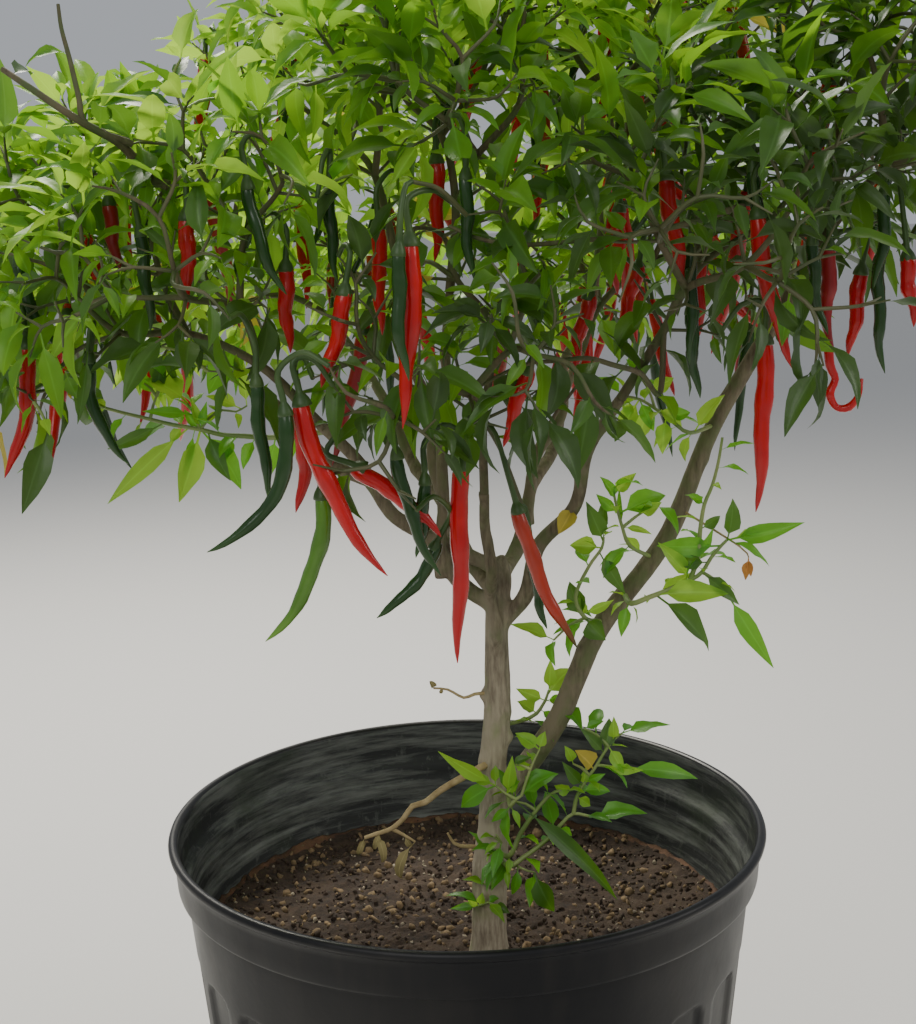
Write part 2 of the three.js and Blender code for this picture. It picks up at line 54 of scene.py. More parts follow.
# Camera, floor and light
# The plant is seen from the height of its crown, a little from above, at arm's length.
# It stands on a pale floor under one large soft lamp behind and above it, and fill from the front.
CAMERA_PLACE = (0.0, -0.8429, 0.6353)
CAMERA_DOWN = math.radians(10.90)
CAMERA_YAW = math.radians(-0.07)
CAMERA_ROLL = math.radians(-1.29)
CAMERA_LENS = 52.73

camera_data = bpy.data.cameras.new("camera")
camera_data.sensor_width = 36
camera_data.lens = CAMERA_LENS
camera_data.clip_end = 400
camera = bpy.data.objects.new("camera", camera_data)
bpy.context.collection.objects.link(camera)
ahead = Vector((
    math.sin(CAMERA_YAW) * math.cos(CAMERA_DOWN),
    math.cos(CAMERA_YAW) * math.cos(CAMERA_DOWN),
    -math.sin(CAMERA_DOWN),
))
level = Vector((math.cos(CAMERA_YAW), -math.sin(CAMERA_YAW), 0))
upright = level.cross(ahead)
across = level * math.cos(CAMERA_ROLL) + upright * math.sin(CAMERA_ROLL)
above = upright * math.cos(CAMERA_ROLL) - level * math.sin(CAMERA_ROLL)
turn = Matrix((across, above, -ahead)).transposed().to_4x4()
camera.matrix_world = Matrix.Translation(CAMERA_PLACE) @ turn
bpy.context.scene.camera = camera


def plain_finish(name, colour, roughness=0.5):
    """A new material, its tree, and its shader with the colour and roughness set."""
    material = bpy.data.materials.new(name)
    material.use_nodes = True
    shader = material.node_tree.nodes["Principled BSDF"]
    shader.inputs["Base Color"].default_value = (*colour, 1)
    shader.inputs["Roughness"].default_value = roughness
    return material, material.node_tree, shader


floor_mesh = bpy.data.meshes.new("floor")
FLOOR_HALF = 90.0
floor_mesh.from_pydata(
    [(x * FLOOR_HALF, y * FLOOR_HALF, 0) for x, y in ((-1, -1), (1, -1), (1, 1), (-1, 1))], [], [(0, 1, 2, 3)]
)
floor_mesh.materials.append(plain_finish("pale_floor", (0.62, 0.61, 0.59), 0.8)[0])
floor = bpy.data.objects.new("floor", floor_mesh)
bpy.context.collection.objects.link(floor)

world = bpy.data.worlds.new("studio")
world.use_nodes = True
world.node_tree.nodes["Background"].inputs["Color"].default_value = (0.80, 0.84, 0.90, 1)
world.node_tree.nodes["Background"].inputs["Strength"].default_value = 0.5
bpy.context.scene.world = world

LAMPS = (
    ("key", (-0.7, 1.5, 2.2), 0.9, 88, (1.0, 0.96, 0.86)),
    ("fill", (-0.9, -2.3, 1.9), 1.6, 24, (1.0, 0.98, 0.95)),
    ("side", (1.9, -0.5, 1.5), 1.0, 12, (1.0, 0.97, 0.92)),
)
for name, place, size, power, colour in LAMPS:
    lamp_data = bpy.data.lights.new(name, "AREA")
    lamp_data.size = size
    lamp_data.energy = power
    lamp_data.color = colour
    lamp = bpy.data.objects.new(name, lamp_data)
    lamp.location = place
    lamp.rotation_euler = (Vector((0, 0, 0.5)) - Vector(place)).to_track_quat("-Z", "Y").to_euler()
    bpy.context.collection.objects.link(lamp)


# Pot
# A round nursery pot, blown in thin black plastic: a rolled rim on a collar, and a tapered side
# with recessed panels between ribs. The inside is stained by hard water above the potting mix.
MM = 0.001
POT_HEIGHT = 290
RIM_RADIUS = 175
FOOT_RADIUS = 140
SIDE_TOP_RADIUS = 166
COLLAR_FOOT = 262
PANELS = 24
WALL = 5.2
PANEL_FOOT = 14
PANEL_TOP = 224
PANEL_DEPTH = 2.2
PANEL_HALF = 14.2
PANEL_HALF_AT = 155
PANEL_CORNER = 9
PANEL_EDGE = 3.2
POT_COLUMNS = 16 * PANELS


def smooth_step(value, low, high):
    t = np.clip((value - low) / (high - low), 0, 1)
    return t * t * (3 - 2 * t)


def new_piece(name, mesh, *materials):
    """Links a mesh as an object at the origin, smooth shaded, with its materials."""
    for material in materials:
        mesh.materials.append(material)
    mesh.polygons.foreach_set("use_smooth", np.ones(len(mesh.polygons), bool))
    mesh.update()
    piece = bpy.data.objects.new(name, mesh)
    bpy.context.collection.objects.link(piece)
    return piece


def turned_grid(profile, columns):
    """Points of a turned profile, ring by ring, and the faces between them, closed at both poles."""
    angles = np.arange(columns) * 2 * math.pi / columns
    radii, heights = np.array(profile, float).T
    rings = np.stack([
        np.outer(radii, np.cos(angles)),
        np.outer(radii, np.sin(angles)),
        np.outer(heights, np.ones(columns)),
    ], axis=2)
    rows = len(profile)
    column = np.arange(columns)
    beside = (column + 1) % columns
    faces = []
    for row in range(rows - 1):
        low, high = row * columns, (row + 1) * columns
        faces.append(np.stack([low + column, low + beside, high + beside, high + column], axis=1))
    return rings, np.concatenate(faces), angles


def closed_turned_mesh(name, rings, faces):
    columns = rings.shape[1]
    points = rings.reshape(-1, 3)
    first_pole, last_pole = len(points), len(points) + 1
    poles = np.array([[0, 0, rings[0, :, 2].mean()], [0, 0, rings[-1, :, 2].mean()]])
    points = np.concatenate([points, poles])
    last = (rings.shape[0] - 1) * columns
    fans = [(first_pole, (c + 1) % columns, c) for c in range(columns)]
    fans += [(last_pole, last + c, last + (c + 1) % columns) for c in range(columns)]
    mesh = bpy.data.meshes.new(name)
    mesh.from_pydata((points * MM).tolist(), [], faces.tolist() + fans)
    return mesh


def side_radius(z):
    return FOOT_RADIUS + (SIDE_TOP_RADIUS - FOOT_RADIUS) * z / COLLAR_FOOT


outside = [(60, 0), (134, 0), (138.4, 0.6), (140, 2.4)]
outside += [(side_radius(z), z) for z in np.linspace(5, PANEL_FOOT + 8, 8)]
outside += [(side_radius(z), z) for z in np.linspace(PANEL_FOOT + 12, PANEL_TOP - 16, 22)]
outside += [(side_radius(z), z) for z in np.linspace(PANEL_TOP - 13, PANEL_TOP + 3, 14)]
outside += [(side_radius(z), z) for z in (234, 246, 256)]
collar = [
    (165.6, 259.4), (165.6, 261), (166.4, 262.2), (168.8, 262.6), (170.2, 263.4), (170.7, 265),
    (171.2, 272), (171.7, 280), (172.1, 283.4), (173.3, 284.6), (174.6, 285.8), (RIM_RADIUS, 287.4),
    (174.4, 289.1), (172.8, 290), (170.9, 289.7), (169.6, 288.4),
]
inside = [
    (169.0, 285), (168.6, 275), (168.2, 266.4), (167.2, 264.2), (164.6, 262.6), (163.4, 260.4), (162.9, 256),
    (162.6, 251.4), (161.9, 250.6), (161.6, 249.4), (161.2, 240), (160.9, 236.6), (160.3, 235.8),
    (160.1, 234.8), (158.4, 227), (156.8, 222),
    *((side_radius(z) - WALL, z) for z in (200, 120, 20)), (134, 5), (128, 4), (60, 4),
]
rings, faces, angles = turned_grid(outside + collar + inside, POT_COLUMNS)
panel_angle = (angles + math.pi / PANELS) % (2 * math.pi / PANELS) - math.pi / PANELS
for row, (radius, z) in enumerate(outside):
    if radius < FOOT_RADIUS:
        continue
    reach_x = np.abs(panel_angle) * radius - (PANEL_HALF * radius / PANEL_HALF_AT - PANEL_CORNER)
    reach_z = abs(z - (PANEL_TOP + PANEL_FOOT) / 2) - ((PANEL_TOP - PANEL_FOOT) / 2 - PANEL_CORNER)
    corner = np.hypot(np.maximum(reach_x, 0), max(reach_z, 0))
    edge = corner + np.minimum(np.maximum(reach_x, reach_z), 0) - PANEL_CORNER
    depth = PANEL_DEPTH * smooth_step(-edge, 0, PANEL_EDGE)
    rings[row, :, :2] *= ((radius - depth) / radius)[:, None]
pot_mesh = closed_turned_mesh("pot_shell", rings, faces)


def node_with(tree, kind, inputs=(), **settings):
    """A new node of a kind, with its settings and the values of some inputs."""
    node = tree.nodes.new(kind)
    for name, value in settings.items():
        setattr(node, name, value)
    for socket, value in dict(inputs).items():
        node.inputs[socket].default_value = value
    return node


def noise_value(tree, scale, detail=3, stretch=(1, 1, 1), roughness=0.5):
    """A noise pattern on Object coordinates, stretched along the axes."""
    place = tree.nodes.new("ShaderNodeTexCoord")
    mapping = node_with(tree, "ShaderNodeMapping", {"Scale": stretch})
    values = {"Scale": scale, "Detail": detail, "Roughness": roughness}
    pattern = node_with(tree, "ShaderNodeTexNoise", values)
    tree.links.new(place.outputs["Object"], mapping.inputs["Vector"])
    tree.links.new(mapping.outputs["Vector"], pattern.inputs["Vector"])
    return pattern.outputs["Fac"]


def graded(tree, value, low, high, low_colour=None, high_colour=None):
    """A value stretched to 0..1 between two levels, or a colour between two colours."""
    ramp = tree.nodes.new("ShaderNodeValToRGB")
    ramp.color_ramp.elements[0].position = low
    ramp.color_ramp.elements[1].position = high
    ramp.color_ramp.elements[0].color = (*(low_colour or (0, 0, 0)), 1)
    ramp.color_ramp.elements[1].color = (*(high_colour or (1, 1, 1)), 1)
    tree.links.new(value, ramp.inputs["Fac"])
    return ramp.outputs["Color"]


def blended(tree, share, first, second, kind="MIX"):
    """Two colours blended by a share; each may be a socket or a plain colour."""
    node = node_with(tree, "ShaderNodeMix", data_type="RGBA", blend_type=kind)
    for socket, value in ((node.inputs[6], first), (node.inputs[7], second)):
        if isinstance(value, tuple):
            socket.default_value = (*value, 1)
        else:
            tree.links.new(value, socket)
    if isinstance(share, float):
        node.inputs[0].default_value = share
    else:
        tree.links.new(share, node.inputs[0])
    return node.outputs[2]


def relief(tree, shader, value, strength, depth):
    """Gives a shader bumps that follow a value, of a strength and of a depth in metres."""
    bump = node_with(tree, "ShaderNodeBump", {"Strength": strength, "Distance": depth})
    tree.links.new(value, bump.inputs["Height"])
    tree.links.new(bump.outputs["Normal"], shader.inputs["Normal"])


black_plastic, tree, shader = plain_finish("black_plastic", (0.012, 0.012, 0.013), 0.4)
dust = graded(tree, noise_value(tree, 9, 5), 0.46, 0.78)
rain = graded(tree, noise_value(tree, 60, 4, (1, 1, 0.12)), 0.5, 0.8)
film = blended(tree, dust, (0.005, 0.005, 0.0055), (0.019, 0.017, 0.015))
tree.links.new(blended(tree, rain, film, (0.016, 0.014, 0.012)), shader.inputs["Base Color"])
gloss = graded(tree, noise_value(tree, 22, 4), 0.2, 0.8, (0.28,) * 3, (0.5,) * 3)
tree.links.new(gloss, shader.inputs["Roughness"])
shader.inputs["Specular IOR Level"].default_value = 0.32
relief(tree, shader, noise_value(tree, 240, 3), 0.12, 0.0006)

stained_plastic, tree, shader = plain_finish("stained_plastic", (0.03, 0.03, 0.03), 0.7)
bands = graded(tree, noise_value(tree, 30, 8, (0.3, 0.3, 3.4), 0.7), 0.44, 0.62)
drips = graded(tree, noise_value(tree, 150, 6, (1, 1, 0.5), 0.7), 0.56, 0.72)
lime = blended(tree, bands, (0.016, 0.018, 0.017), (0.135, 0.145, 0.128))
lime = blended(tree, drips, lime, (0.085, 0.092, 0.080), "LIGHTEN")
algae = graded(tree, noise_value(tree, 14, 4), 0.52, 0.7)
tree.links.new(blended(tree, algae, lime, (0.022, 0.034, 0.016)), shader.inputs["Base Color"])
relief(tree, shader, noise_value(tree, 320, 4), 0.3, 0.0006)

pot = new_piece("pot_shell", pot_mesh, black_plastic, stained_plastic)
inside_from = (len(outside) + len(collar)) * POT_COLUMNS
for face in pot_mesh.polygons:
    if face.vertices[0] >= inside_from - POT_COLUMNS and len(face.vertices) == 4:
        face.material_index = 1
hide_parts("pot")
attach(pot, "root")


# Potting mix
# Peat and bark, settled a hand's breadth below the rim, dark where it is damp, with a brown salty
# crust where it meets the wall. Pumice, perlite and grit have washed up to its surface.
SOIL_LEVEL = 220
SOIL_RADIUS = 157.6
SOIL_RINGS = 84
SOIL_COLUMNS = 300
SOIL_UNDER = 210
CRUST_RISE = 6
CRUST_FROM = 0.86
CRUST_WIDTH = 4.5
soil_profile = [(SOIL_RADIUS * (i / SOIL_RINGS) ** 0.8, SOIL_LEVEL) for i in range(SOIL_RINGS, 0, -1)]
soil_profile = [(SOIL_RADIUS - 1.4, SOIL_UNDER)] + soil_profile
rings, faces, angles = turned_grid(soil_profile, SOIL_COLUMNS)
for row in range(1, len(soil_profile)):
    for column in range(SOIL_COLUMNS):
        x, y, z = rings[row, column]
        share = math.hypot(x, y) / SOIL_RADIUS
        lumps = 3.6 * noise.noise(Vector((x, y, 3)) / 26) + 3.2 * noise.noise(Vector((x, y, 9)) / 9)
        crumbs = 2.6 * abs(noise.noise(Vector((x, y, 21)) / 4.2))
        crust = CRUST_RISE * max(share - CRUST_FROM, 0) / (1 - CRUST_FROM)
        rings[row, column, 2] = z - 1.2 + lumps * (1 - 0.5 * share) + crumbs + crust
soil_mesh = closed_turned_mesh("soil_bed", rings, faces)

damp_peat, tree, shader = plain_finish("damp_peat", (0.03, 0.018, 0.011), 0.95)
clods = noise_value(tree, 160, 6, roughness=0.7)
clods = graded(tree, clods, 0.3, 0.72, (0.010, 0.006, 0.004), (0.066, 0.040, 0.024))
salts = graded(tree, noise_value(tree, 24, 5), 0.5, 0.72)
tree.links.new(blended(tree, salts, clods, (0.072, 0.046, 0.028)), shader.inputs["Base Color"])
relief(tree, shader, noise_value(tree, 700, 5, roughness=0.7), 0.8, 0.0012)
crust_brown, tree, shader = plain_finish("salty_crust", (0.12, 0.05, 0.022), 0.85)
rust = graded(tree, noise_value(tree, 70, 5), 0.3, 0.75, (0.040, 0.019, 0.010), (0.150, 0.072, 0.034))
tree.links.new(rust, shader.inputs["Base Color"])
relief(tree, shader, noise_value(tree, 500, 5), 0.7, 0.001)

soil = new_piece("soil_bed", soil_mesh, damp_peat, crust_brown)
for face in soil_mesh.polygons:
    x, y, z = face.center
    wander = 0.004 * noise.noise(Vector((x, y, 0)) * 40)
    if math.hypot(x, y) + wander > (SOIL_RADIUS - CRUST_WIDTH) * MM:
        face.material_index = 1
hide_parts("soil")
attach(soil, "root")


def group_with(name, *inputs):
    """An empty geometry tree with a geometry input and output, and the named inputs."""
    group = bpy.data.node_groups.new(name, "GeometryNodeTree")
    group.interface.new_socket("Geometry", in_out="INPUT", socket_type="NodeSocketGeometry")
    for label, kind in inputs:
        group.interface.new_socket(label, in_out="INPUT", socket_type=kind)
    group.interface.new_socket("Geometry", in_out="OUTPUT", socket_type="NodeSocketGeometry")
    return group, group.nodes.new("NodeGroupInput"), group.nodes.new("NodeGroupOutput")


def made_by(name, group, source, **values):
    """The plain mesh that a geometry tree makes from a source mesh with these inputs."""
    holder = bpy.data.objects.new(name, source)
    bpy.context.collection.objects.link(holder)
    modifier = holder.modifiers.new(name, "NODES")
    modifier.node_group = group
    sockets = {s.name: s.identifier for s in group.interface.items_tree if s.in_out == "INPUT"}
    for label, value in values.items():
        modifier[sockets[label]] = value
    bpy.context.view_layer.update()
    mesh = bpy.data.meshes.new_from_object(holder.evaluated_get(bpy.context.evaluated_depsgraph_get()))
    mesh.name = name
    bpy.data.objects.remove(holder)
    return mesh


grit, start, end = group_with(
    "grit",
    ("Density", "NodeSocketFloat"),
    ("Smallest", "NodeSocketFloat"),
    ("Largest", "NodeSocketFloat"),
    ("Seed", "NodeSocketInt"),
    ("Finish", "NodeSocketMaterial"),
)
scatter = grit.nodes.new("GeometryNodeDistributePointsOnFaces")
stone = node_with(grit, "GeometryNodeMeshIcoSphere", {"Subdivisions": 1, "Radius": 0.5})
turns = node_with(grit, "FunctionNodeRandomValue", {1: (6.28, 6.28, 6.28)}, data_type="FLOAT_VECTOR")
sizes = grit.nodes.new("FunctionNodeRandomValue")
flattest, roundest = (0.5, 0.45, 0.3), (1.4, 1.1, 0.8)
squash = node_with(grit, "FunctionNodeRandomValue", {0: flattest, 1: roundest}, data_type="FLOAT_VECTOR")
chips = node_with(grit, "ShaderNodeTexNoise", {"Scale": 420})
centred = node_with(grit, "ShaderNodeVectorMath", {1: (0.5, 0.5, 0.5)}, operation="SUBTRACT")
chipped = node_with(grit, "ShaderNodeVectorMath", {"Scale": 0.004}, operation="SCALE")
rough = grit.nodes.new("GeometryNodeSetPosition")
scaled = node_with(grit, "ShaderNodeVectorMath", operation="SCALE")
placed = grit.nodes.new("GeometryNodeInstanceOnPoints")
real = grit.nodes.new("GeometryNodeRealizeInstances")
finish = grit.nodes.new("GeometryNodeSetMaterial")
for source, target in (
    (start.outputs["Geometry"], scatter.inputs["Mesh"]),
    (start.outputs["Density"], scatter.inputs["Density"]),
    (start.outputs["Seed"], scatter.inputs["Seed"]),
    (start.outputs["Smallest"], sizes.inputs[2]),
    (start.outputs["Largest"], sizes.inputs[3]),
    (squash.outputs[0], scaled.inputs[0]),
    (sizes.outputs[1], scaled.inputs["Scale"]),
    (scatter.outputs["Points"], placed.inputs["Points"]),
    (stone.outputs["Mesh"], placed.inputs["Instance"]),
    (turns.outputs[0], placed.inputs["Rotation"]),
    (scaled.outputs[0], placed.inputs["Scale"]),
    (placed.outputs["Instances"], real.inputs["Geometry"]),
    (real.outputs["Geometry"], rough.inputs["Geometry"]),
    (chips.outputs["Color"], centred.inputs[0]),
    (centred.outputs[0], chipped.inputs[0]),
    (chipped.outputs[0], rough.inputs["Offset"]),
    (rough.outputs["Geometry"], finish.inputs["Geometry"]),
    (start.outputs["Finish"], finish.inputs["Material"]),
    (finish.outputs["Geometry"], end.inputs["Geometry"]),
):
    grit.links.new(source, target)

soil_top = bpy.data.meshes.new("soil_top")
soil_top.from_pydata(
    [tuple(v.co) for v in soil_mesh.vertices], [],
    [tuple(f.vertices) for f in soil_mesh.polygons
     if f.center.z > (SOIL_LEVEL - 7) * MM and math.hypot(f.center.x, f.center.y) < (SOIL_RADIUS - 3) * MM],
)
GRIT = (
    ("pumice_grit", (0.26, 0.175, 0.09), 10000, 0.0016, 0.0074, 3),
    ("perlite_grit", (0.42, 0.35, 0.25), 6000, 0.0010, 0.0034, 5),
    ("bark_crumbs", (0.060, 0.036, 0.021), 30000, 0.0014, 0.0056, 8),
)
for name, colour, density, smallest, largest, seed in GRIT:
    material, tree, shader = plain_finish(name, colour, 0.92)
    darker = tuple(0.45 * c for c in colour)
    mottle = graded(tree, noise_value(tree, 300, 4), 0.35, 0.7, darker, colour)
    tree.links.new(mottle, shader.inputs["Base Color"])
    grains = made_by(
        name, grit, soil_top, Density=density, Smallest=smallest, Largest=largest, Seed=seed, Finish=material
    )
    piece = new_piece(name, grains)
    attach(piece, "root")


# Trunk and boughs
# One woody stem, corky and ridged at its foot, that forks low to a bough on the right and again
# under the crown. Old leaf scars and stubs stand out of it, and the bark turns greener upwards.
UP = np.array([0.0, 0.0, 1.0])
RIGHT = np.array([1.0, 0.0, 0.0])
TRUNK_FOOT = (11.6, -36)
TRUNK_LEAN = 10.5
TRUNK_TOP = 456
TRUNK_START = 0.3
TRUNK_GIRTH = (
    (0, 11.5), (12, 9.9), (50, 9.7), (84, 8.8), (110, 7.6), (150, 7.3), (195, 6.8),
    (TRUNK_TOP - SOIL_LEVEL, 6.2),
)
CROWN = {"x": 10, "y": 20, "half_width": 345, "half_depth": 275}
BOUGHS = (
    {"side": "right", "leaves": 308, "radius": 6.7,
     "bearing": 338, "share": 0.72, "height": 646, "reach": 128},
    {"side": "back_right", "leaves": 440, "radius": 4.8,
     "bearing": 62, "share": 0.6, "height": 606, "reach": 140},
    {"side": "back_left", "leaves": 430, "radius": 4.8,
     "bearing": 122, "share": 0.6, "height": 598, "reach": 140},
    {"side": "left", "leaves": 446, "radius": 4.6,
     "bearing": 180, "share": 0.62, "height": 604, "reach": 140},
    {"side": "front_left", "leaves": 424, "radius": 5,
     "bearing": 226, "share": 0.62, "height": 592, "reach": 132},
    {"side": "front", "leaves": 398, "radius": 4.4,
     "bearing": 266, "share": 0.54, "height": 566, "reach": 124},
    {"side": "front_right", "leaves": 412, "radius": 4.8,
     "bearing": 306, "share": 0.6, "height": 616, "reach": 132},
)
CRESTS = (
    {"side": "right", "from": "back_right", "bearing": 12, "share": 0.3, "height": 694, "reach": 112},
    {"side": "left", "from": "back_left", "bearing": 134, "share": 0.3, "height": 700, "reach": 112},
    {"side": "front", "from": "front_left", "bearing": 255, "share": 0.32, "height": 690, "reach": 108},
)
CREST_FORK = 0.35
STEM_RUN = 92
BOUGH_TAPER = 0.58
CREST_BOUGH_RADIUS = 3.8
BOUGH_STEPS = 5
ZIGZAG = 3.5


def unit(v):
    return v / np.linalg.norm(v)


def squared(direction, axis):
    """The part of a direction that is square to an axis, at unit length."""
    return unit(direction - axis * np.dot(direction, axis))


def any_side(ahead):
    return squared(UP if abs(ahead[2]) < 0.9 else RIGHT, ahead)


def turned(v, axis, angle):
    """A vector turned about a unit axis."""
    cos, sin = math.cos(angle), math.sin(angle)
    return v * cos + np.cross(axis, v) * sin + axis * np.dot(axis, v) * (1 - cos)


def crown_place(bearing, share, height):
    angle = math.radians(bearing)
    x = CROWN["x"] + share * CROWN["half_width"] * math.cos(angle)
    y = CROWN["y"] + share * CROWN["half_depth"] * math.sin(angle)
    return np.array([x, y, height])


def on_line(points, t):
    at = t * (len(points) - 1)
    i = min(int(at), len(points) - 2)
    return points[i] + (points[i + 1] - points[i]) * (at - i)


def trunk_at(height):
    i = max(next(k for k, p in enumerate(trunk_line) if p[2] > height), 1)
    low, high = trunk_line[i - 1], trunk_line[i]
    return low + (high - low) * (height - low[2]) / (high[2] - low[2])


def bough_line(root, tip, rise, seed):
    """Points of a bough from root to tip, bowed upwards by a rise and a little crooked."""
    bend = (root + tip) / 2 + UP * rise
    across = squared(turned(RIGHT, UP, seed), unit(tip - root))
    points = []
    for i in range(BOUGH_STEPS + 1):
        t = i / BOUGH_STEPS
        point = (root + (bend - root) * t) * (1 - t) + (bend + (tip - bend) * t) * t
        kink = ZIGZAG * (1 if i % 2 else -1) if 0 < i < BOUGH_STEPS else 0
        points.append(point + across * kink)
    return points


def tip_for(centre):
    """Where a bough ends and the stem of its mass of foliage begins."""
    return centre - unit(centre - trunk_line[-1]) * STEM_RUN


trunk_line = []
for i, (height, radius) in enumerate(TRUNK_GIRTH):
    share = max(height - TRUNK_GIRTH[1][0], 0) / (TRUNK_TOP - SOIL_LEVEL)
    sway = (1 if i % 2 else -0.6) if i > 1 else 0
    x = TRUNK_FOOT[0] + TRUNK_LEAN * share + sway
    trunk_line.append(np.array([x, TRUNK_FOOT[1], SOIL_LEVEL + TRUNK_START + height]))
limbs = {"trunk": (trunk_line, [radius for _, radius in TRUNK_GIRTH])}
masses = []


def add_bough(name, root, tip, rise, radius, seed):
    points = bough_line(root, tip, rise, seed)
    radii = [radius * (1 - (1 - BOUGH_TAPER) * i / BOUGH_STEPS) for i in range(BOUGH_STEPS + 1)]
    limbs[name] = (points, radii)
    return points[-1], unit(points[-1] - points[-2])


def add_mass(name, stem, ahead, centre, reach, seed, fruit, girth=1):
    """Notes a mass of foliage: where its stem ends and heads, its room, and its share of pods."""
    masses.append({
        "name": name, "stem": stem, "ahead": ahead, "centre": centre, "reach": reach, "seed": seed,
        "fruit": fruit, "girth": girth,
    })


STEM_RADIUS = 2.6
for g, b in enumerate(BOUGHS):
    centre = crown_place(b["bearing"], b["share"], b["height"])
    rise = -18 if b["side"] == "right" else -8
    tip, ahead = add_bough(f"bough_{b['side']}", trunk_at(b["leaves"]), tip_for(centre), rise, b["radius"], g)
    fruit = 0 if b["side"].startswith("front") else 0.1
    girth = b["radius"] * BOUGH_TAPER / STEM_RADIUS
    add_mass(f"foliage_{b['side']}", tip, ahead, centre, b["reach"], g + 11, fruit=fruit, girth=girth)
for g, c in enumerate(CRESTS):
    centre = crown_place(c["bearing"], c["share"], c["height"])
    root = on_line(limbs[f"bough_{c['from']}"][0], CREST_FORK)
    tip, ahead = add_bough(f"bough_crest_{c['side']}", root, tip_for(centre), -6, CREST_BOUGH_RADIUS, g + 3)
    add_mass(f"foliage_crest_{c['side']}", tip, ahead, centre, c["reach"], g + 31, fruit=0.07)


def smooth_path(points, radii, spacing):
    """A line that runs smoothly through the points, with its radii, at an even spacing."""
    points = [2 * points[0] - points[1], *points, 2 * points[-1] - points[-2]]
    path, girth = [], []
    for i in range(1, len(points) - 2):
        a, b, c, d = points[i - 1:i + 3]
        steps = max(int(np.linalg.norm(c - b) / spacing), 1)
        for k in range(steps):
            t = k / steps
            path.append(0.5 * (2 * b + (c - a) * t + (2 * a - 5 * b + 4 * c - d) * t * t
                               + (3 * b - a - 3 * c + d) * t ** 3))
            girth.append(radii[i - 1] + (radii[i] - radii[i - 1]) * t)
    path.append(points[-2])
    girth.append(radii[-1])
    return np.array(path), np.array(girth)


def path_frames(path):
    """Directions along a path and two directions square to it that turn as little as they can."""
    ahead = np.gradient(path, axis=0)
    ahead /= np.linalg.norm(ahead, axis=1)[:, None]
    sides = [any_side(ahead[0])]
    for direction in ahead[1:]:
        sides.append(squared(sides[-1], direction))
    side = np.array(sides)
    return ahead, side, np.cross(ahead, side)


BARK_SIDES = 36
SCAR_SPACING = 31
GOLDEN_ANGLE = math.radians(137.5)
STUBS = {"trunk": ((164, 3.14, 3.4), (140, 0.0, 3.0), (96, 4.2, 2.2), (60, 2.4, 2.0), (190, 5.4, 2.4))}
ROOT_DEPTH = 9
BOUGH_SINK = 13
TRUNK_DOME = 16


def barked_limb(name, points, radii):
    """A limb with the relief of its bark: fissures along it, scars at its old nodes, and stubs."""
    if name == "trunk":
        below, stout = points[0] - UP * ROOT_DEPTH, radii[0] * 1.12
    else:
        below, stout = points[0] - UP * BOUGH_SINK - unit(points[1] - points[0]) * 2, radii[0] * 0.7
    path, girth = smooth_path([below, *points], [stout, *radii], 2.0)
    ahead, side, other = path_frames(path)
    run = np.concatenate([[0], np.cumsum(np.linalg.norm(np.diff(path, axis=0), axis=1))])
    angles = np.arange(BARK_SIDES) * 2 * math.pi / BARK_SIDES
    rough = np.clip((girth - 2.5) / 6, 0.12, 1)
    if name == "trunk":
        girth = girth * np.sqrt(1 - (1 - np.clip((run[-1] - run) / TRUNK_DOME, 0.05, 1)) ** 2)
    points_out = np.empty((len(path), BARK_SIDES, 3))
    shift = 17.0 * len(name)
    for i, at in enumerate(run):
        for j, angle in enumerate(angles):
            round_x, round_y = math.cos(angle), math.sin(angle)
            ridges = noise.noise(Vector((round_x * 3.1, round_y * 3.1, at / 26 + shift)))
            cracks = abs(noise.noise(Vector((round_x * 5.2, round_y * 5.2, at / 13 - shift))))
            grain = noise.noise(Vector((round_x * 9, round_y * 9, at / 3.2)))
            node = round(at / SCAR_SPACING)
            across = math.remainder(angle - node * GOLDEN_ANGLE, 2 * math.pi)
            swell = 0.9 * math.exp(-((at - node * SCAR_SPACING) / 3.5) ** 2 - (across / 0.8) ** 2)
            for stub_at, stub_angle, stub_out in STUBS.get(name, ()):
                away = math.remainder(angle - stub_angle, 2 * math.pi)
                swell += stub_out * math.exp(-((at - stub_at) / 3.4) ** 2 - (away / 0.42) ** 2)
            out = girth[i] + rough[i] * (0.95 * ridges - 0.8 * cracks + 0.3 + 0.28 * grain) + swell
            points_out[i, j] = path[i] + (side[i] * round_x + other[i] * round_y) * out
    return points_out, path[0], path[-1]


def closed_tubes(name, tubes):
    """One mesh of closed tubes, each given as its rings and its two end points."""
    points, faces = [], []
    for rings, first, last in tubes:
        base = len(points)
        count, sides = rings.shape[:2]
        points.extend(rings.reshape(-1, 3))
        points.extend((first, last))
        for i in range(count - 1):
            for j in range(sides):
                a, b = base + i * sides + j, base + i * sides + (j + 1) % sides
                faces.append((a, b, b + sides, a + sides))
        low, high = base + count * sides, base + count * sides + 1
        top = base + (count - 1) * sides
        for j in range(sides):
            faces.append((low, base + (j + 1) % sides, base + j))
            faces.append((high, top + j, top + (j + 1) % sides))
    mesh = bpy.data.meshes.new(name)
    mesh.from_pydata((np.array(points) * MM).tolist(), [], faces)
    return mesh


def bark_colour(tree, pale, dark, moss, moss_share):
    """Streaked and patchy wood with some green on it, as a colour socket."""
    streaks = graded(tree, noise_value(tree, 420, 6, (1, 1, 0.18), 0.6), 0.34, 0.66)
    wood = blended(tree, streaks, dark, pale)
    patches = graded(tree, noise_value(tree, 46, 4, (1, 1, 0.5)), 0.5, 0.62)
    wood = blended(tree, patches, wood, tuple(0.72 * p + 0.28 * d for p, d in zip(pale, dark)))
    green = graded(tree, noise_value(tree, 90, 4, (1, 1, 0.6)), 1 - moss_share, 1.0 - 0.6 * moss_share)
    return blended(tree, green, wood, moss)


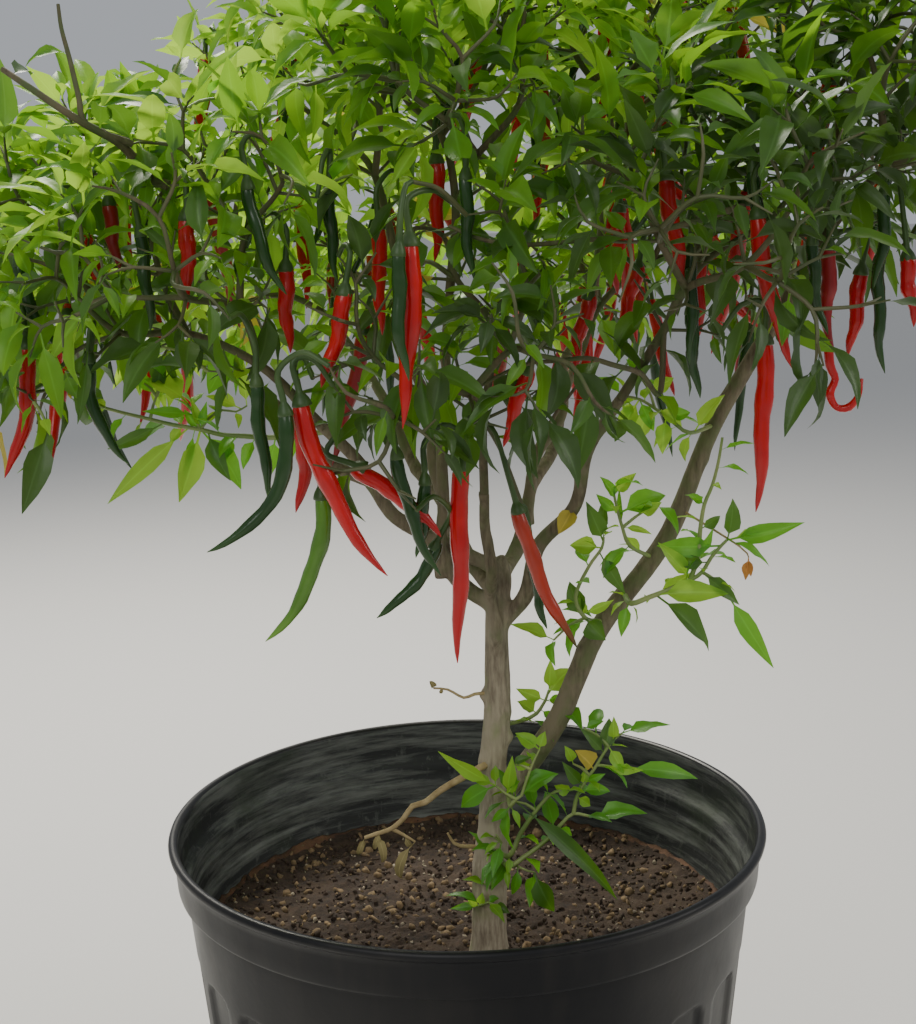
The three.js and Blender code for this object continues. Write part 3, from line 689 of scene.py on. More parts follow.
SKIN_GRAIN = 1.15
CROTCH_REACH = 19
CROTCH_OUT = 9
CROTCH_ROUNDS = 22


def joined_skin(name, tubes, crotches):
    """One skin round all the limbs, with the crotches between them filled in softly."""
    holder = bpy.data.objects.new(name, closed_tubes(name, tubes))
    bpy.context.collection.objects.link(holder)
    skin = holder.modifiers.new(name, "REMESH")
    skin.mode = "VOXEL"
    skin.voxel_size = SKIN_GRAIN * MM
    bpy.context.view_layer.update()
    mesh = bpy.data.meshes.new_from_object(holder.evaluated_get(bpy.context.evaluated_depsgraph_get()))
    mesh.name = name
    bpy.data.objects.remove(holder)
    count = len(mesh.vertices)
    points, ends = np.empty(count * 3), np.empty(len(mesh.edges) * 2, int)
    mesh.vertices.foreach_get("co", points)
    mesh.edges.foreach_get("vertices", ends)
    points, ends = points.reshape(-1, 3) / MM, ends.reshape(-1, 2)
    near = np.zeros(count)
    for crotch in crotches:
        away = np.linalg.norm(points - crotch, axis=1)
        near = np.maximum(near, np.clip(1.6 * (1 - away / CROTCH_REACH), 0, 1))
    links = np.bincount(ends.ravel(), minlength=count)
    for _ in range(CROTCH_ROUNDS):
        around = np.stack([
            np.bincount(ends[:, 0], points[ends[:, 1], axis], count)
            + np.bincount(ends[:, 1], points[ends[:, 0], axis], count) for axis in range(3)
        ], axis=1)
        points += 0.6 * near[:, None] * (around / links[:, None] - points)
    mesh.vertices.foreach_set("co", (points * MM).ravel())
    mesh.update()
    return mesh, points


bark, tree, shader = plain_finish("bark", (0.3, 0.25, 0.17), 0.85)
age = node_with(tree, "ShaderNodeAttribute", attribute_name="age")
green_bark = bark_colour(tree, (0.225, 0.19, 0.115), (0.10, 0.078, 0.046), (0.13, 0.15, 0.06), 0.52)
old_bark = bark_colour(tree, (0.50, 0.43, 0.31), (0.24, 0.19, 0.13), (0.30, 0.30, 0.16), 0.42)
tree.links.new(blended(tree, age.outputs["Fac"], green_bark, old_bark), shader.inputs["Base Color"])
relief(tree, shader, noise_value(tree, 900, 5, (1, 1, 0.3), 0.65), 0.55, 0.0008)

roots = [
    points[0] + unit(points[1] - points[0]) * CROTCH_OUT
    for name, (points, _) in limbs.items() if name != "trunk"
]
bark_mesh, bark_points = joined_skin("bark", [barked_limb(name, *limbs[name]) for name in limbs], roots)
stem_path, stem_girth = smooth_path(*limbs["trunk"], 3)
bare = np.min([np.linalg.norm(bark_points - p, axis=1) - r for p, r in zip(stem_path, stem_girth)], axis=0)
grey = np.clip(1 - (bare - 2) / 14, 0, 1) * (1 - 0.6 * np.clip((bark_points[:, 2] - 320) / 110, 0, 1))
bark_mesh.attributes.new("age", "FLOAT", "POINT").data.foreach_set("value", grey)
limb_bark = new_piece("bark", bark_mesh, bark)
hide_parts(*limbs)
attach(limb_bark, "root")


# Twigs
# Every twig forks in two at its end, in a plane that turns from node to node, and grows back
# towards its own part of the crown. Young shoots and one dead twig stand low on the trunk.
SHOOT_SPACES = (
    ("shoots_right_bough", (128, -84, 480), 82),
    ("shoots_inner_bough", (70, -70, 474), 66),
    ("shoots_left_bough", (-152, -44, 526), 110),
    ("shoots_fork", (22, -80, 340), 56),
    ("shoots_stem", (46, -12, 386), 46),
    ("shoots_foot", (84, -66, 346), 76),
    ("dry_twig", (-44, -62, 298), 62),
)
low_spaces = [
    {"name": name, "centre": np.array(at, float), "reach": reach} for name, at, reach in SHOOT_SPACES
]
INTERNODES = (46, 40, 34, 28, 22, 18, 15)
COARSE_ORDERS = 4
FINER_ORDERS = 3
LIFT = 0.1
FORK_ANGLE = math.radians(40)
FORK_TURN = math.radians(95)
HOME_PULL = 0.4
SPUR_ORDERS = 4
SPUR_ANGLE = math.radians(62)
TWIG_RADII = (2.6, 2.2, 1.9, 1.6, 1.2)
FINEST_TWIG = 0.7
BUD_RADIUS = 0.4
LIMB_MARGIN = 2.5
box_low, box_high = (np.array(corner) / MM for corner in solids_box)
limb_points, limb_girth = [], []
for points, radii in limbs.values():
    path, girth = smooth_path(points, radii, 6)
    limb_points.append(path)
    limb_girth.append(girth)
limb_points, limb_girth = np.concatenate(limb_points), np.concatenate(limb_girth)


def chance(seed, k):
    """A repeatable number from 0 to 1 for the k-th choice under a seed."""
    wave = math.sin(seed * 12.9898 + k * 78.233) * 43758.5453
    return wave - math.floor(wave)


def stays_in(mass, point, clearance):
    """Whether a point keeps to its own mass's side of the walls between neighbouring masses."""
    for other in masses + low_spaces:
        if other is mass:
            continue
        away = other["centre"] - mass["centre"]
        apart = np.linalg.norm(away)
        wall = (apart ** 2 + mass["reach"] ** 2 - other["reach"] ** 2) / (2 * apart)
        if np.dot(point - mass["centre"], away) / apart >= wall - clearance:
            return False
    return True


def clear_of_limbs(start, end):
    for t in (0.15, 0.4, 0.7, 1.0):
        away = np.linalg.norm(limb_points - (start + (end - start) * t), axis=1)
        if np.any(away < limb_girth + LIMB_MARGIN):
            return False
    return True


def in_open_air(point):
    in_box = np.all(point > box_low + 4) and np.all(point < box_high - 4)
    return in_box and point[2] > SOIL_LEVEL + 6 and (point[2] > POT_HEIGHT + 4 or np.hypot(*point[:2]) < 150)


def twig_radius(mass, node):
    whole = len(TWIG_RADII) - 1
    if node > whole:
        return TWIG_RADII[-1] + (FINEST_TWIG - TWIG_RADII[-1]) * (node - whole) / FINER_ORDERS
    return TWIG_RADII[node] * (1 + (mass["girth"] - 1) * (1 - node / whole))


def grow_twig(mass, start, ahead, across, order, index):
    """One twig with the arms that it forks into, carried on past the solid's last order, and leafy spurs."""
    seed = mass["seed"]
    length = INTERNODES[order] * (0.85 + 0.3 * chance(seed, index))
    end = start + ahead * length
    twig = {"start": start, "end": end, "ahead": ahead, "order": order, "index": index, "arms": []}
    orders = COARSE_ORDERS + FINER_ORDERS
    if order + 1 == orders:
        return twig
    plane = turned(across, ahead, FORK_TURN + chance(seed, index + 0.3) - 0.5)
    home = (mass["centre"] - end) / mass["reach"]

    def add_arm(following, next_order, angle, pull):
        towards = ahead * math.cos(angle) + plane * math.sin(angle)
        towards = unit(towards + home * pull * np.linalg.norm(home) + UP * LIFT)
        grown = grow_twig(mass, end, towards, squared(plane, towards), next_order, following)
        near = np.linalg.norm(grown["end"] - mass["centre"]) < mass["reach"]
        near = near and stays_in(mass, grown["end"], 4)
        if near and clear_of_limbs(end, grown["end"]) and in_open_air(grown["end"]):
            twig["arms"].append(grown)

    for arm in (0, 1):
        following = 2 * index + arm
        angle = (-1 if arm else 1) * FORK_ANGLE * (0.8 + 0.4 * chance(seed, following + 0.6))
        add_arm(following, order + 1, angle, HOME_PULL)
    if order < SPUR_ORDERS:
        plane = turned(plane, ahead, math.pi / 2)
        for arm in (0, 1):
            following = 2 * index + arm + 0.43
            add_arm(following, orders - 2, (-1 if arm else 1) * SPUR_ANGLE, 0)
    return twig


def twig_lines(mass, twig, root):
    """The twigs of a mass as lines that run on through one arm at each fork."""
    points = [root, twig["end"]]
    radii = [twig_radius(mass, twig["order"]), twig_radius(mass, twig["order"] + 1)]
    lines = [(points, radii)]
    while twig["arms"]:
        first, *rest = twig["arms"]
        points.append(first["end"])
        radii.append(twig_radius(mass, first["order"] + 1))
        for arm in rest:
            lines += twig_lines(mass, arm, twig["end"])
        twig = first
    radii[-1] = BUD_RADIUS
    return lines


def every_twig(twig):
    return [twig] + [found for arm in twig["arms"] for found in every_twig(arm)]


sweep, start, end = group_with("sweep", ("Sides", "NodeSocketInt"), ("Finish", "NodeSocketMaterial"))
lines_node = sweep.nodes.new("GeometryNodeMeshToCurve")
girth_node = node_with(sweep, "GeometryNodeInputNamedAttribute", {"Name": "girth"}, data_type="FLOAT")
radius_node = sweep.nodes.new("GeometryNodeSetCurveRadius")
circle = node_with(sweep, "GeometryNodeCurvePrimitiveCircle", {"Radius": 1})
swept = node_with(sweep, "GeometryNodeCurveToMesh", {"Fill Caps": True})
real = sweep.nodes.new("GeometryNodeRealizeInstances")
finish = sweep.nodes.new("GeometryNodeSetMaterial")
for source, target in (
    (start.outputs["Geometry"], lines_node.inputs["Mesh"]),
    (lines_node.outputs["Curve"], radius_node.inputs["Curve"]),
    (girth_node.outputs["Attribute"], radius_node.inputs["Radius"]),
    (radius_node.outputs["Curve"], swept.inputs["Curve"]),
    (start.outputs["Sides"], circle.inputs["Resolution"]),
    (circle.outputs["Curve"], swept.inputs["Profile Curve"]),
    (swept.outputs["Mesh"], real.inputs["Geometry"]),
    (real.outputs["Geometry"], finish.inputs["Geometry"]),
    (start.outputs["Finish"], finish.inputs["Material"]),
    (finish.outputs["Geometry"], end.inputs["Geometry"]),
):
    sweep.links.new(source, target)
if "Scale" in swept.inputs:
    sweep.links.new(girth_node.outputs["Attribute"], swept.inputs["Scale"])


def swept_piece(name, paths, sides, material):
    """A piece of tubes swept along paths, each of them points and girths in millimetres."""
    points, edges, girths, shares = [], [], [], []
    for path, girth in paths:
        base = len(points)
        points.extend(np.asarray(path) * MM)
        girths.extend(np.asarray(girth) * MM)
        shares.extend(np.linspace(0, 1, len(path)))
        edges.extend((base + i, base + i + 1) for i in range(len(path) - 1))
    source = bpy.data.meshes.new(name + "_path")
    source.from_pydata([tuple(p) for p in points], edges, [])
    source.attributes.new("girth", "FLOAT", "POINT").data.foreach_set("value", girths)
    source.attributes.new("along", "FLOAT", "POINT").data.foreach_set("value", shares)
    mesh = made_by(name, sweep, source, Sides=sides, Finish=material)
    piece = new_piece(name, mesh)
    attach(piece, "root")
    return piece


def tinted(name, low, high, scale=60, roughness=0.5):
    """A plain finish that wavers between two colours."""
    material, tree, shader = plain_finish(name, low, roughness)
    wavering = graded(tree, noise_value(tree, scale, 3), 0.32, 0.7, low, high)
    tree.links.new(wavering, shader.inputs["Base Color"])
    return material


shoot_green = tinted("shoot_green", (0.15, 0.24, 0.05), (0.28, 0.33, 0.11))
twig_green = tinted("twig_green", (0.065, 0.085, 0.026), (0.13, 0.12, 0.055))
woody_twig, tree, shader = plain_finish("woody_twig", (0.16, 0.13, 0.07), 0.8)
woody_brown = bark_colour(tree, (0.155, 0.128, 0.068), (0.08, 0.06, 0.032), (0.08, 0.11, 0.034), 0.6)
tree.links.new(woody_brown, shader.inputs["Base Color"])
dry_stem = tinted("dry_stem", (0.27, 0.19, 0.08), (0.52, 0.40, 0.20), 150, 0.85)

stems, woody, green = {}, [], []
for mass in masses:
    stem = grow_twig(mass, mass["stem"], mass["ahead"], any_side(mass["ahead"]), 0, 1)
    stems[mass["name"]] = stem
    for points, radii in twig_lines(mass, stem, mass["stem"]):
        (woody if radii[0] > 1.8 else green).append(smooth_path(points, radii, 5))
crown_twigs = swept_piece("woody_twigs", woody, 7, woody_twig)
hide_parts(*[mass["name"] for mass in masses])
swept_piece("green_twigs", green, 6, twig_green)

# the photograph's middle and focal length in pixels, to which the camera is set, and how much further
# off the low shoots are than their depth says, because they are seen from above
PHOTO_MIDDLE = (458, 512)
PHOTO_FOCAL = 1500
SLOPING_SIGHT = 1.02
LEAST_WIDTH = 2
eye = np.array(CAMERA_PLACE) / MM
view = np.array(camera.matrix_world)[:3, :3]


def seen_at(pixel, depth):
    """The place, to the millimetre, of what shows at a pixel of the photograph and stands at a depth."""
    right, down = (np.array(pixel) - PHOTO_MIDDLE) / PHOTO_FOCAL
    sight = view @ np.array([right, -down, -1])
    return np.round(eye + sight * (depth - eye[1]) / sight[1])


def seen_width(pixels, depth):
    """The width, to the millimetre, of a low leaf that is some pixels wide and stands at a depth."""
    return max(LEAST_WIDTH, round(pixels * SLOPING_SIGHT * (depth - eye[1]) / PHOTO_FOCAL))


# the low shoots that stand clear of the crown, each in a plane of its own: whether it is dead, how far
# back it stands, its stems as a radius and the pixels that they run through, and its leaves as the pixels
# of root and tip, the width in pixels, and the kind, which is partly the leaf's own tint and partly painted
# light: a brighter kind as a painted highlight where a leaf shows sun or a glint, a deeper one as painted
# shade
SHOOTS = (
    # on the left bough
    (False, -62, (
        (1.6, ((296, 441), (272, 438), (245, 436), (222, 434), (200, 430), (172, 424), (150, 419),
               (122, 413), (96, 406))),
        (1.0, ((200, 430), (194, 415), (188, 403))),
        (0.9, ((200, 430), (210, 418), (222, 411), (236, 411), (247, 405))),
    ), (
        ((186, 441), (111, 499), 15, "bright"), ((198, 438), (182, 497), 21, "bright"),
        ((201, 438), (240, 487), 19, "fresh"), ((206, 438), (232, 478), 16, "mid"),
        ((195, 438), (182, 478), 8, "fresh"), ((234, 438), (226, 457), 9, "fresh"),
        ((188, 404), (148, 380), 24, "bright"), ((156, 396), (132, 373), 13, "fresh"),
        ((152, 394), (161, 357), 12, "mid"), ((164, 378), (204, 342), 12, "mid"),
        ((244, 338), (189, 366), 14, "bright"), ((231, 344), (207, 394), 26, "fresh"),
        ((236, 344), (236, 391), 9, "fresh"), ((248, 405), (244, 361), 10, "bright"),
        ((239, 404), (207, 397), 14, "bright"), ((197, 414), (147, 410), 10, "fresh"),
        ((182, 424), (171, 441), 9, "bright"), ((168, 419), (107, 450), 11, "mid"),
        ((144, 384), (125, 393), 6, "bright"), ((100, 408), (88, 418), 8, "fresh"),
        ((110, 410), (92, 399), 7, "bright"), ((200, 430), (192, 398), 8, "bright"),
        ((204, 430), (208, 400), 8, "fresh"), ((206, 428), (220, 412), 8, "bright"),
        ((198, 430), (184, 410), 8, "fresh"),
    )),
    # on the right bough
    (False, -78, (
        (1.6, ((612, 605), (632, 604), (648, 598), (664, 592), (690, 580), (702, 573), (712, 558),
               (722, 545), (728, 540))),
        (1.4, ((690, 580), (698, 556), (700, 530), (704, 505), (712, 485), (719, 462), (722, 438))),
    ), (
        ((653, 596), (723, 590), 20, "bright"), ((656, 593), (693, 577), 11, "bright"),
        ((658, 601), (713, 653), 21, "mid"), ((703, 571), (735, 602), 14, "mid"),
        ((726, 592), (767, 659), 16, "fresh"), ((728, 540), (781, 527), 9, "bright"),
        ((733, 536), (797, 517), 15, "fresh"), ((725, 541), (733, 502), 16, "mid"),
        ((717, 542), (660, 549), 17, "fresh"), ((688, 579), (660, 544), 13, "bright"),
        ((716, 568), (673, 559), 11, "mid"), ((699, 556), (715, 530), 8, "fresh"),
        ((700, 530), (722, 517), 9, "mid"), ((704, 505), (690, 498), 7, "fresh"),
    )),
    # between the stem and the right bough
    (False, -64, (
        (1.2, ((640, 560), (630, 545), (622, 528), (617, 508), (613, 488))),
        (1.0, ((622, 528), (640, 514), (660, 503))),
        (1.3, ((600, 632), (586, 618), (576, 596), (588, 566), (602, 548), (603, 538))),
    ), (
        ((626, 514), (668, 496), 19, "fresh"), ((640, 516), (661, 500), 11, "bright"),
        ((618, 530), (620, 490), 6, "fresh"), ((628, 530), (650, 533), 6, "bright"),
        ((632, 534), (641, 553), 10, "bright"), ((600, 552), (622, 589), 13, "mid"),
        ((603, 552), (572, 547), 16, "bright"), ((601, 540), (586, 502), 15, "mid"),
        ((603, 538), (606, 500), 10, "mid"), ((586, 613), (615, 602), 10, "bright"),
        ((586, 616), (570, 586), 17, "mid"), ((583, 617), (579, 598), 9, "bright"),
        ((582, 621), (604, 638), 18, "mid"), ((588, 512), (558, 532), 15, "yellow"),
        ((553, 640), (515, 625), 13, "bright"), ((606, 520), (598, 496), 9, "fresh"),
        ((612, 500), (601, 478), 10, "fresh"), ((616, 496), (634, 474), 11, "bright"),
    )),
    # at the fork
    (False, -74, (
        (1.5, ((503, 815), (510, 806), (516, 800), (521, 795))),
        (1.1, ((516, 800), (506, 794), (496, 786))),
        (0.9, ((521, 795), (530, 770), (540, 750))),
    ), (
        ((494, 779), (443, 754), 14, "bright"), ((497, 788), (460, 815), 17, "fresh"),
        ((495, 785), (468, 780), 10, "bright"), ((504, 798), (512, 757), 12, "bright"),
        ((514, 796), (512, 762), 8, "fresh"), ((512, 764), (531, 765), 9, "bright"),
        ((506, 758), (530, 757), 8, "mid"), ((521, 797), (557, 776), 21, "fresh"),
        ((540, 748), (517, 735), 14, "bright"), ((542, 748), (545, 734), 9, "bright"),
        ((509, 796), (520, 782), 9, "bright"), ((502, 806), (492, 822), 7, "fresh"),
    )),
    # on the stem above the fork
    (False, -30, (
        (1.4, ((508, 727), (530, 718), (541, 709), (545, 701), (549, 690))),
        (0.8, ((551, 732), (556, 718), (564, 704))),
    ), (
        ((546, 700), (519, 690), 10, "bright"), ((537, 712), (518, 703), 13, "bright"),
        ((546, 698), (571, 671), 19, "bright"), ((553, 684), (551, 661), 10, "bright"),
        ((550, 706), (566, 699), 8, "fresh"), ((544, 709), (556, 722), 7, "fresh"),
    )),
    # from the foot of the stem
    (False, -62, (
        (1.6, ((498, 870), (508, 866), (524, 858), (536, 848), (550, 836), (562, 823), (573, 814),
               (592, 816))),
        (1.6, ((496, 868), (509, 856), (520, 836), (532, 816), (545, 800), (556, 792), (574, 790))),
        (1.2, ((573, 814), (577, 796), (586, 780), (597, 765), (604, 752), (613, 741), (622, 734))),
        (1.0, ((597, 765), (622, 768))),
        (0.9, ((500, 866), (520, 867), (534, 873))),
        (0.9, ((504, 852), (502, 842), (496, 834))),
    ), (
        ((592, 816), (643, 808), 18, "fresh"), ((515, 802), (616, 894), 15, "mid"),
        ((533, 873), (553, 909), 18, "mid"), ((622, 768), (698, 782), 15, "fresh"),
        ((602, 764), (640, 768), 9, "bright"), ((582, 790), (610, 793), 12, "fresh"),
        ((574, 791), (555, 786), 11, "bright"), ((580, 785), (562, 758), 11, "mid"),
        ((574, 764), (565, 747), 9, "bright"), ((593, 767), (577, 749), 17, "yellow"),
        ((604, 750), (612, 721), 13, "mid"), ((614, 741), (614, 716), 9, "bright"),
        ((620, 735), (667, 723), 15, "fresh"), ((609, 751), (623, 769), 12, "bright"),
        ((599, 753), (580, 726), 9, "mid"), ((584, 728), (603, 721), 8, "fresh"),
        ((588, 786), (585, 768), 7, "bright"), ((578, 800), (590, 806), 9, "bright"),
        ((560, 824), (572, 838), 8, "fresh"), ((586, 780), (604, 772), 8, "fresh"),
    )),
    # beside the foot of the stem
    (False, -50, (
        (0.8, ((486, 903), (491, 884), (499, 862))),
        (1.0, ((470, 912), (479, 905), (488, 903), (498, 907))),
    ), (
        ((474, 909), (453, 908), 8, "fresh"), ((479, 906), (482, 895), 7, "bright"),
        ((490, 905), (510, 910), 10, "mid"), ((486, 905), (498, 899), 7, "fresh"),
        ((474, 911), (468, 900), 6, "bright"),
    )),
    # the dead twig
    (True, -56, (
        (2.2, ((480, 770), (462, 778), (440, 791), (424, 803), (412, 807), (404, 818), (392, 829),
               (376, 834), (364, 838))),
        (1.2, ((392, 829), (404, 835), (416, 842))),
    ), (
        ((364, 838), (356, 858), 6, "withered"), ((367, 837), (361, 852), 5, "withered"),
        ((374, 836), (385, 866), 7, "withered"), ((416, 842), (399, 888), 9, "withered"),
        ((404, 836), (413, 851), 5, "withered"), ((380, 833), (373, 851), 5, "withered"),
    )),
    # two snapped side twigs
    (True, -40, (
        (1.3, ((474, 852), (460, 846), (451, 840), (447, 833))),
        (1.1, ((484, 692), (474, 694), (464, 697), (447, 690), (434, 688))),
    ), (
        ((434, 688), (430, 679), 5, "withered"), ((436, 688), (441, 694), 4, "withered"),
    )),
    # a spent flower
    (True, -80, (
        (0.7, ((728, 540), (740, 546), (748, 557))),
    ), (
        ((748, 556), (746, 579), 7, "spent"), ((748, 556), (752, 577), 6, "spent"),
    )),
    # pale young growth above the right bough
    (False, -72, (
        (1.2, ((706, 432), (690, 432), (672, 422), (655, 408), (640, 400), (622, 396))),
        (0.8, ((655, 408), (650, 392), (640, 376))),
    ), (
        ((640, 400), (620, 434), 15, "bright"), ((650, 406), (640, 444), 15, "bright"),
        ((657, 408), (684, 428), 14, "bright"), ((638, 400), (608, 408), 12, "bright"),
        ((650, 394), (672, 380), 13, "bright"), ((644, 384), (628, 360), 13, "fresh"),
        ((664, 416), (692, 414), 11, "fresh"), ((624, 397), (598, 376), 13, "fresh"),
        ((668, 420), (660, 452), 13, "bright"), ((706, 430), (724, 398), 14, "bright"),
        ((640, 400), (652, 430), 12, "fresh"), ((630, 398), (632, 420), 10, "bright"),
    )),
    # single leaves at the edge of the crown
    (False, -118, (
    ), (
        ((48, 430), (31, 506), 23, "deep"), ((162, 346), (92, 372), 28, "deep"),
        ((92, 348), (82, 420), 11, "mid"), ((74, 280), (4, 300), 24, "mid"),
        ((352, 174), (318, 232), 20, "deep"), ((66, 372), (76, 400), 15, "light"),
        ((786, 316), (832, 350), 20, "light"), ((250, 150), (222, 190), 16, "mid"),
        ((530, 170), (590, 205), 20, "mid"), ((24, 372), (0, 392), 18, "mid"),
        ((486, 50), (560, 44), 16, "deep"), ((330, 40), (272, 16), 18, "bright"),
        ((216, 98), (236, 56), 18, "bright"), ((180, 60), (196, 8), 18, "bright"),
    )),
)
SHOOT_TAPER = 0.5
SHOOT_JOIN = 3
SHOOT_STALK = 9
LEAF_STALK = (1.0, 0.75, 0.55)
# twigs that cross in front of the crown: radius, spacing of their leaves, and the points that they run
# through, each a pixel's column and row and a depth
FRONT_TWIGS = (
    (2.6, 44, ((150, 178, -105), (138, 163, -125), (117, 143, -140), (88, 126, -150), (60, 108, -155),
               (28, 86, -155), (2, 69, -150))),
    (1.7, 40, ((88, 126, -150), (78, 96, -150), (70, 60, -145), (62, 28, -140), (57, 4, -135))),
    (1.7, 34, ((742, 207, -120), (690, 224, -140), (625, 235, -150), (570, 241, -150), (522, 245, -150),
               (480, 238, -145), (448, 226, -140))),
    (1.6, 18, ((660, 394, -90), (640, 374, -110), (614, 364, -125), (586, 359, -130), (558, 360, -130),
               (530, 364, -128), (502, 374, -125), (474, 390, -120))),
    (1.3, 26, ((543, 429, -90), (560, 408, -95), (575, 388, -100), (592, 366, -105))),
)


def nearest(points, place):
    """The point that lies nearest to a place, and how far away it is."""
    away = np.linalg.norm(points - place, axis=1)
    return points[np.argmin(away)], np.min(away)


trails, tender, dry = [], [], []
crown_ends = np.array([twig["end"] for stem in stems.values() for twig in every_twig(stem)])
holds = np.concatenate([limb_points, crown_ends])
for dead, depth, stem_lines, shoot_leaves in SHOOTS:
    trail = []
    for radius, line in stem_lines:
        points = [seen_at(pixel, depth) for pixel in line]
        if not trail or nearest(np.array(trail), points[0])[1] > SHOOT_JOIN:
            points[0] = nearest(limb_points, points[0])[0]
        path, girth = smooth_path(points, np.linspace(radius, SHOOT_TAPER * radius, len(points)), 3)
        (dry if dead else tender).append((path, girth))
        trail.extend(path)
    for root, *_ in shoot_leaves:
        place = seen_at(root, depth)
        hold, away = nearest(np.concatenate([holds, *([trail] if trail else [])]), place)
        if away > SHOOT_STALK:
            tender.append(smooth_path([hold, (hold + place) / 2 + UP * 0.1 * away, place], LEAF_STALK, 3))
        trail.append(place if away > SHOOT_STALK else hold)
    trails.append(np.array(trail))
crossing = []
for radius, spacing, line in FRONT_TWIGS:
    points = [seen_at((column, row), depth) for column, row, depth in line]
    points.insert(0, nearest(crown_ends, points[0])[0])
    crossing.append(smooth_path(points, np.linspace(radius, SHOOT_TAPER * radius, len(points)), 3))
swept_piece("front_twigs", crossing, 8, woody_twig)
young_stems = swept_piece("shoot_twigs", tender, 8, shoot_green)
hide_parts(*[space["name"] for space in low_spaces if space["name"] != "dry_twig"])
dead_twig = swept_piece("dead_twig", dry, 7, dry_stem)
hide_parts("dry_twig")


# Pods
# Long thin peppers that hang from the forks by a bowed stalk and a small green cap. They ripen
# from dark green to a glossy scarlet, and some have bent or hooked on their way down.
STALK_RADIUS = 1.15
POD_RADIUS = 4.2
POD_LENGTH = 80
POD_SIDES = 14
STALK_DROP = 13
SLIM = {"dark": 0.78, "green": 0.88, "turning": 0.9, "crimson": 0.92, "red": 0.98}
STALK_REACH = 38
NODE_RISE = 10
CAP_DEPTH = 3
FRONT_EDGE = -45
SHOWN_FROM = 4
ELBOW_RISE = 24
POD_PROFILE = (
    (0, 0.50), (0.03, 0.80), (0.07, 0.94), (0.15, 1), (0.3, 1), (0.5, 0.95), (0.66, 0.82), (0.8, 0.62),
    (0.9, 0.40), (0.96, 0.22), (0.99, 0.12), (1, 0.04),
)
# the pods in front: the pixel at which each hangs from its stalk, its depth, its length, its lean and curl
# in degrees, and its kind
FRONT_PODS = (
    ((187, 205), -130, 48, -3, 0, "red"), ((25, 335), -100, 74, 4, -34, "red"),
    ((90, 350), -110, 62, -14, 60, "dark"), ((378, 215), -74, 60, 0, 0, "red"),
    ((408, 230), -190, 86, 2, -12, "red"), ((345, 280), -160, 50, -10, -12, "red"),
    ((300, 390), -180, 94, 8, 32, "red"), ((284, 400), -190, 84, 12, -84, "dark"),
    ((321, 485), -170, 82, 6, -56, "green"), ((395, 445), -160, 66, 6, 24, "dark"),
    ((440, 537), -140, 52, -24, -34, "dark"), ((460, 455), -140, 102, -2, 0, "red"),
    ((515, 500), -102, 84, 14, 16, "turning"), ((665, 165), -120, 60, 8, 4, "red"),
    ((691, 240), -112, 60, 0, 0, "dark"), ((756, 205), -122, 80, 6, 16, "red"),
    ((765, 330), -112, 90, 2, -8, "red"), ((829, 236), -100, 54, -1, 4, "crimson"),
    ((18, 252), -100, 54, 2, 40, "dark"), ((108, 192), -90, 38, 0, 10, "crimson"),
    ((138, 222), -120, 52, 8, -10, "dark"), ((246, 175), -150, 57, 4, 26, "dark"),
    ((285, 258), -110, 46, -4, 8, "red"), ((256, 372), -170, 60, 0, 8, "dark"),
    ((465, 165), -150, 52, -2, 10, "dark"), ((530, 362), -110, 44, -24, 10, "red"),
    ((592, 288), -60, 46, -20, 12, "red"), ((640, 258), -40, 44, -14, -10, "red"),
    ((700, 250), -60, 52, -6, 8, "red"), ((752, 160), -110, 56, 4, 14, "dark"),
    ((862, 262), -80, 48, -7, 0, "red"), ((884, 180), -100, 52, 6, -20, "dark"),
    ((880, 250), -90, 62, -4, 16, "dark"), ((906, 246), -90, 40, 8, 0, "red"),
    ((531, 548), -80, 44, 6, 8, "dark"), ((352, 464), -150, 56, 66, -30, "red"),
    ((300, 395), -130, 58, 8, -24, "red"), ((425, 470), -150, 42, 0, -14, "dark"),
    ((812, 230), -120, 50, 0, 20, "dark"), ((690, 300), -110, 48, 2, 8, "dark"),
    ((620, 200), 0, 52, -6, 8, "red"), ((436, 150), -60, 56, 2, -8, "red"),
    ((330, 180), -120, 48, -4, 14, "dark"), ((400, 240), -200, 60, -6, 16, "dark"),
)


# one pod has withered to a thin hooked tail, given by columns, rows and depths
SHRIVELLED = next(i for i, pod in enumerate(FRONT_PODS) if pod[0] == (829, 236))
SHRIVELLED_TAIL = (
    (830, 366, -100), (835, 379, -99), (829, 394, -101), (836, 408, -99), (850, 407, -100), (859, 395, -102),
    (862, 378, -100),
)
SHRIVELLED_GIRTH = (2.4, 2.3, 1.9, 2.2, 1.7, 2.1, 1.5, 0.8)


def pod_path(at, out, length, lean, curl):
    """Points along a pod that leans and curls towards one heading, and its radii."""
    shares = np.linspace(0, 1, 19)
    path = [np.asarray(at, float)]
    for before, after in zip(shares, shares[1:]):
        angle = math.radians(lean + curl * (before + after) / 2)
        step = (after - before) * length
        path.append(path[-1] + out * math.sin(angle) * step - UP * math.cos(angle) * step)
    profile = np.array(POD_PROFILE)
    stout = POD_RADIUS * (0.84 + 0.0025 * length)
    return np.array(path), np.interp(shares, profile[:, 0], profile[:, 1]) * stout


def wrinkled(path, girth, seed):
    """A pod with the slight kinks, necks and swellings that real ones have."""
    shares = np.linspace(0, 1, len(path))
    within = shares * (1.2 - shares)
    path = path.copy()
    path[:, 0] += 2.6 * np.sin(2 * math.pi * (1.5 * shares + chance(seed, 1))) * within
    path[:, 1] += 2.2 * np.sin(2 * math.pi * (1.2 * shares + chance(seed, 2))) * within
    wide_knots = np.sin(2 * math.pi * (3.1 * shares + chance(seed, 3)))
    fine_knots = np.sin(2 * math.pi * (5.3 * shares + chance(seed, 4)))
    return path, girth * (1 + 0.055 * (wide_knots + fine_knots) * np.clip(6 * shares, 0, 1))


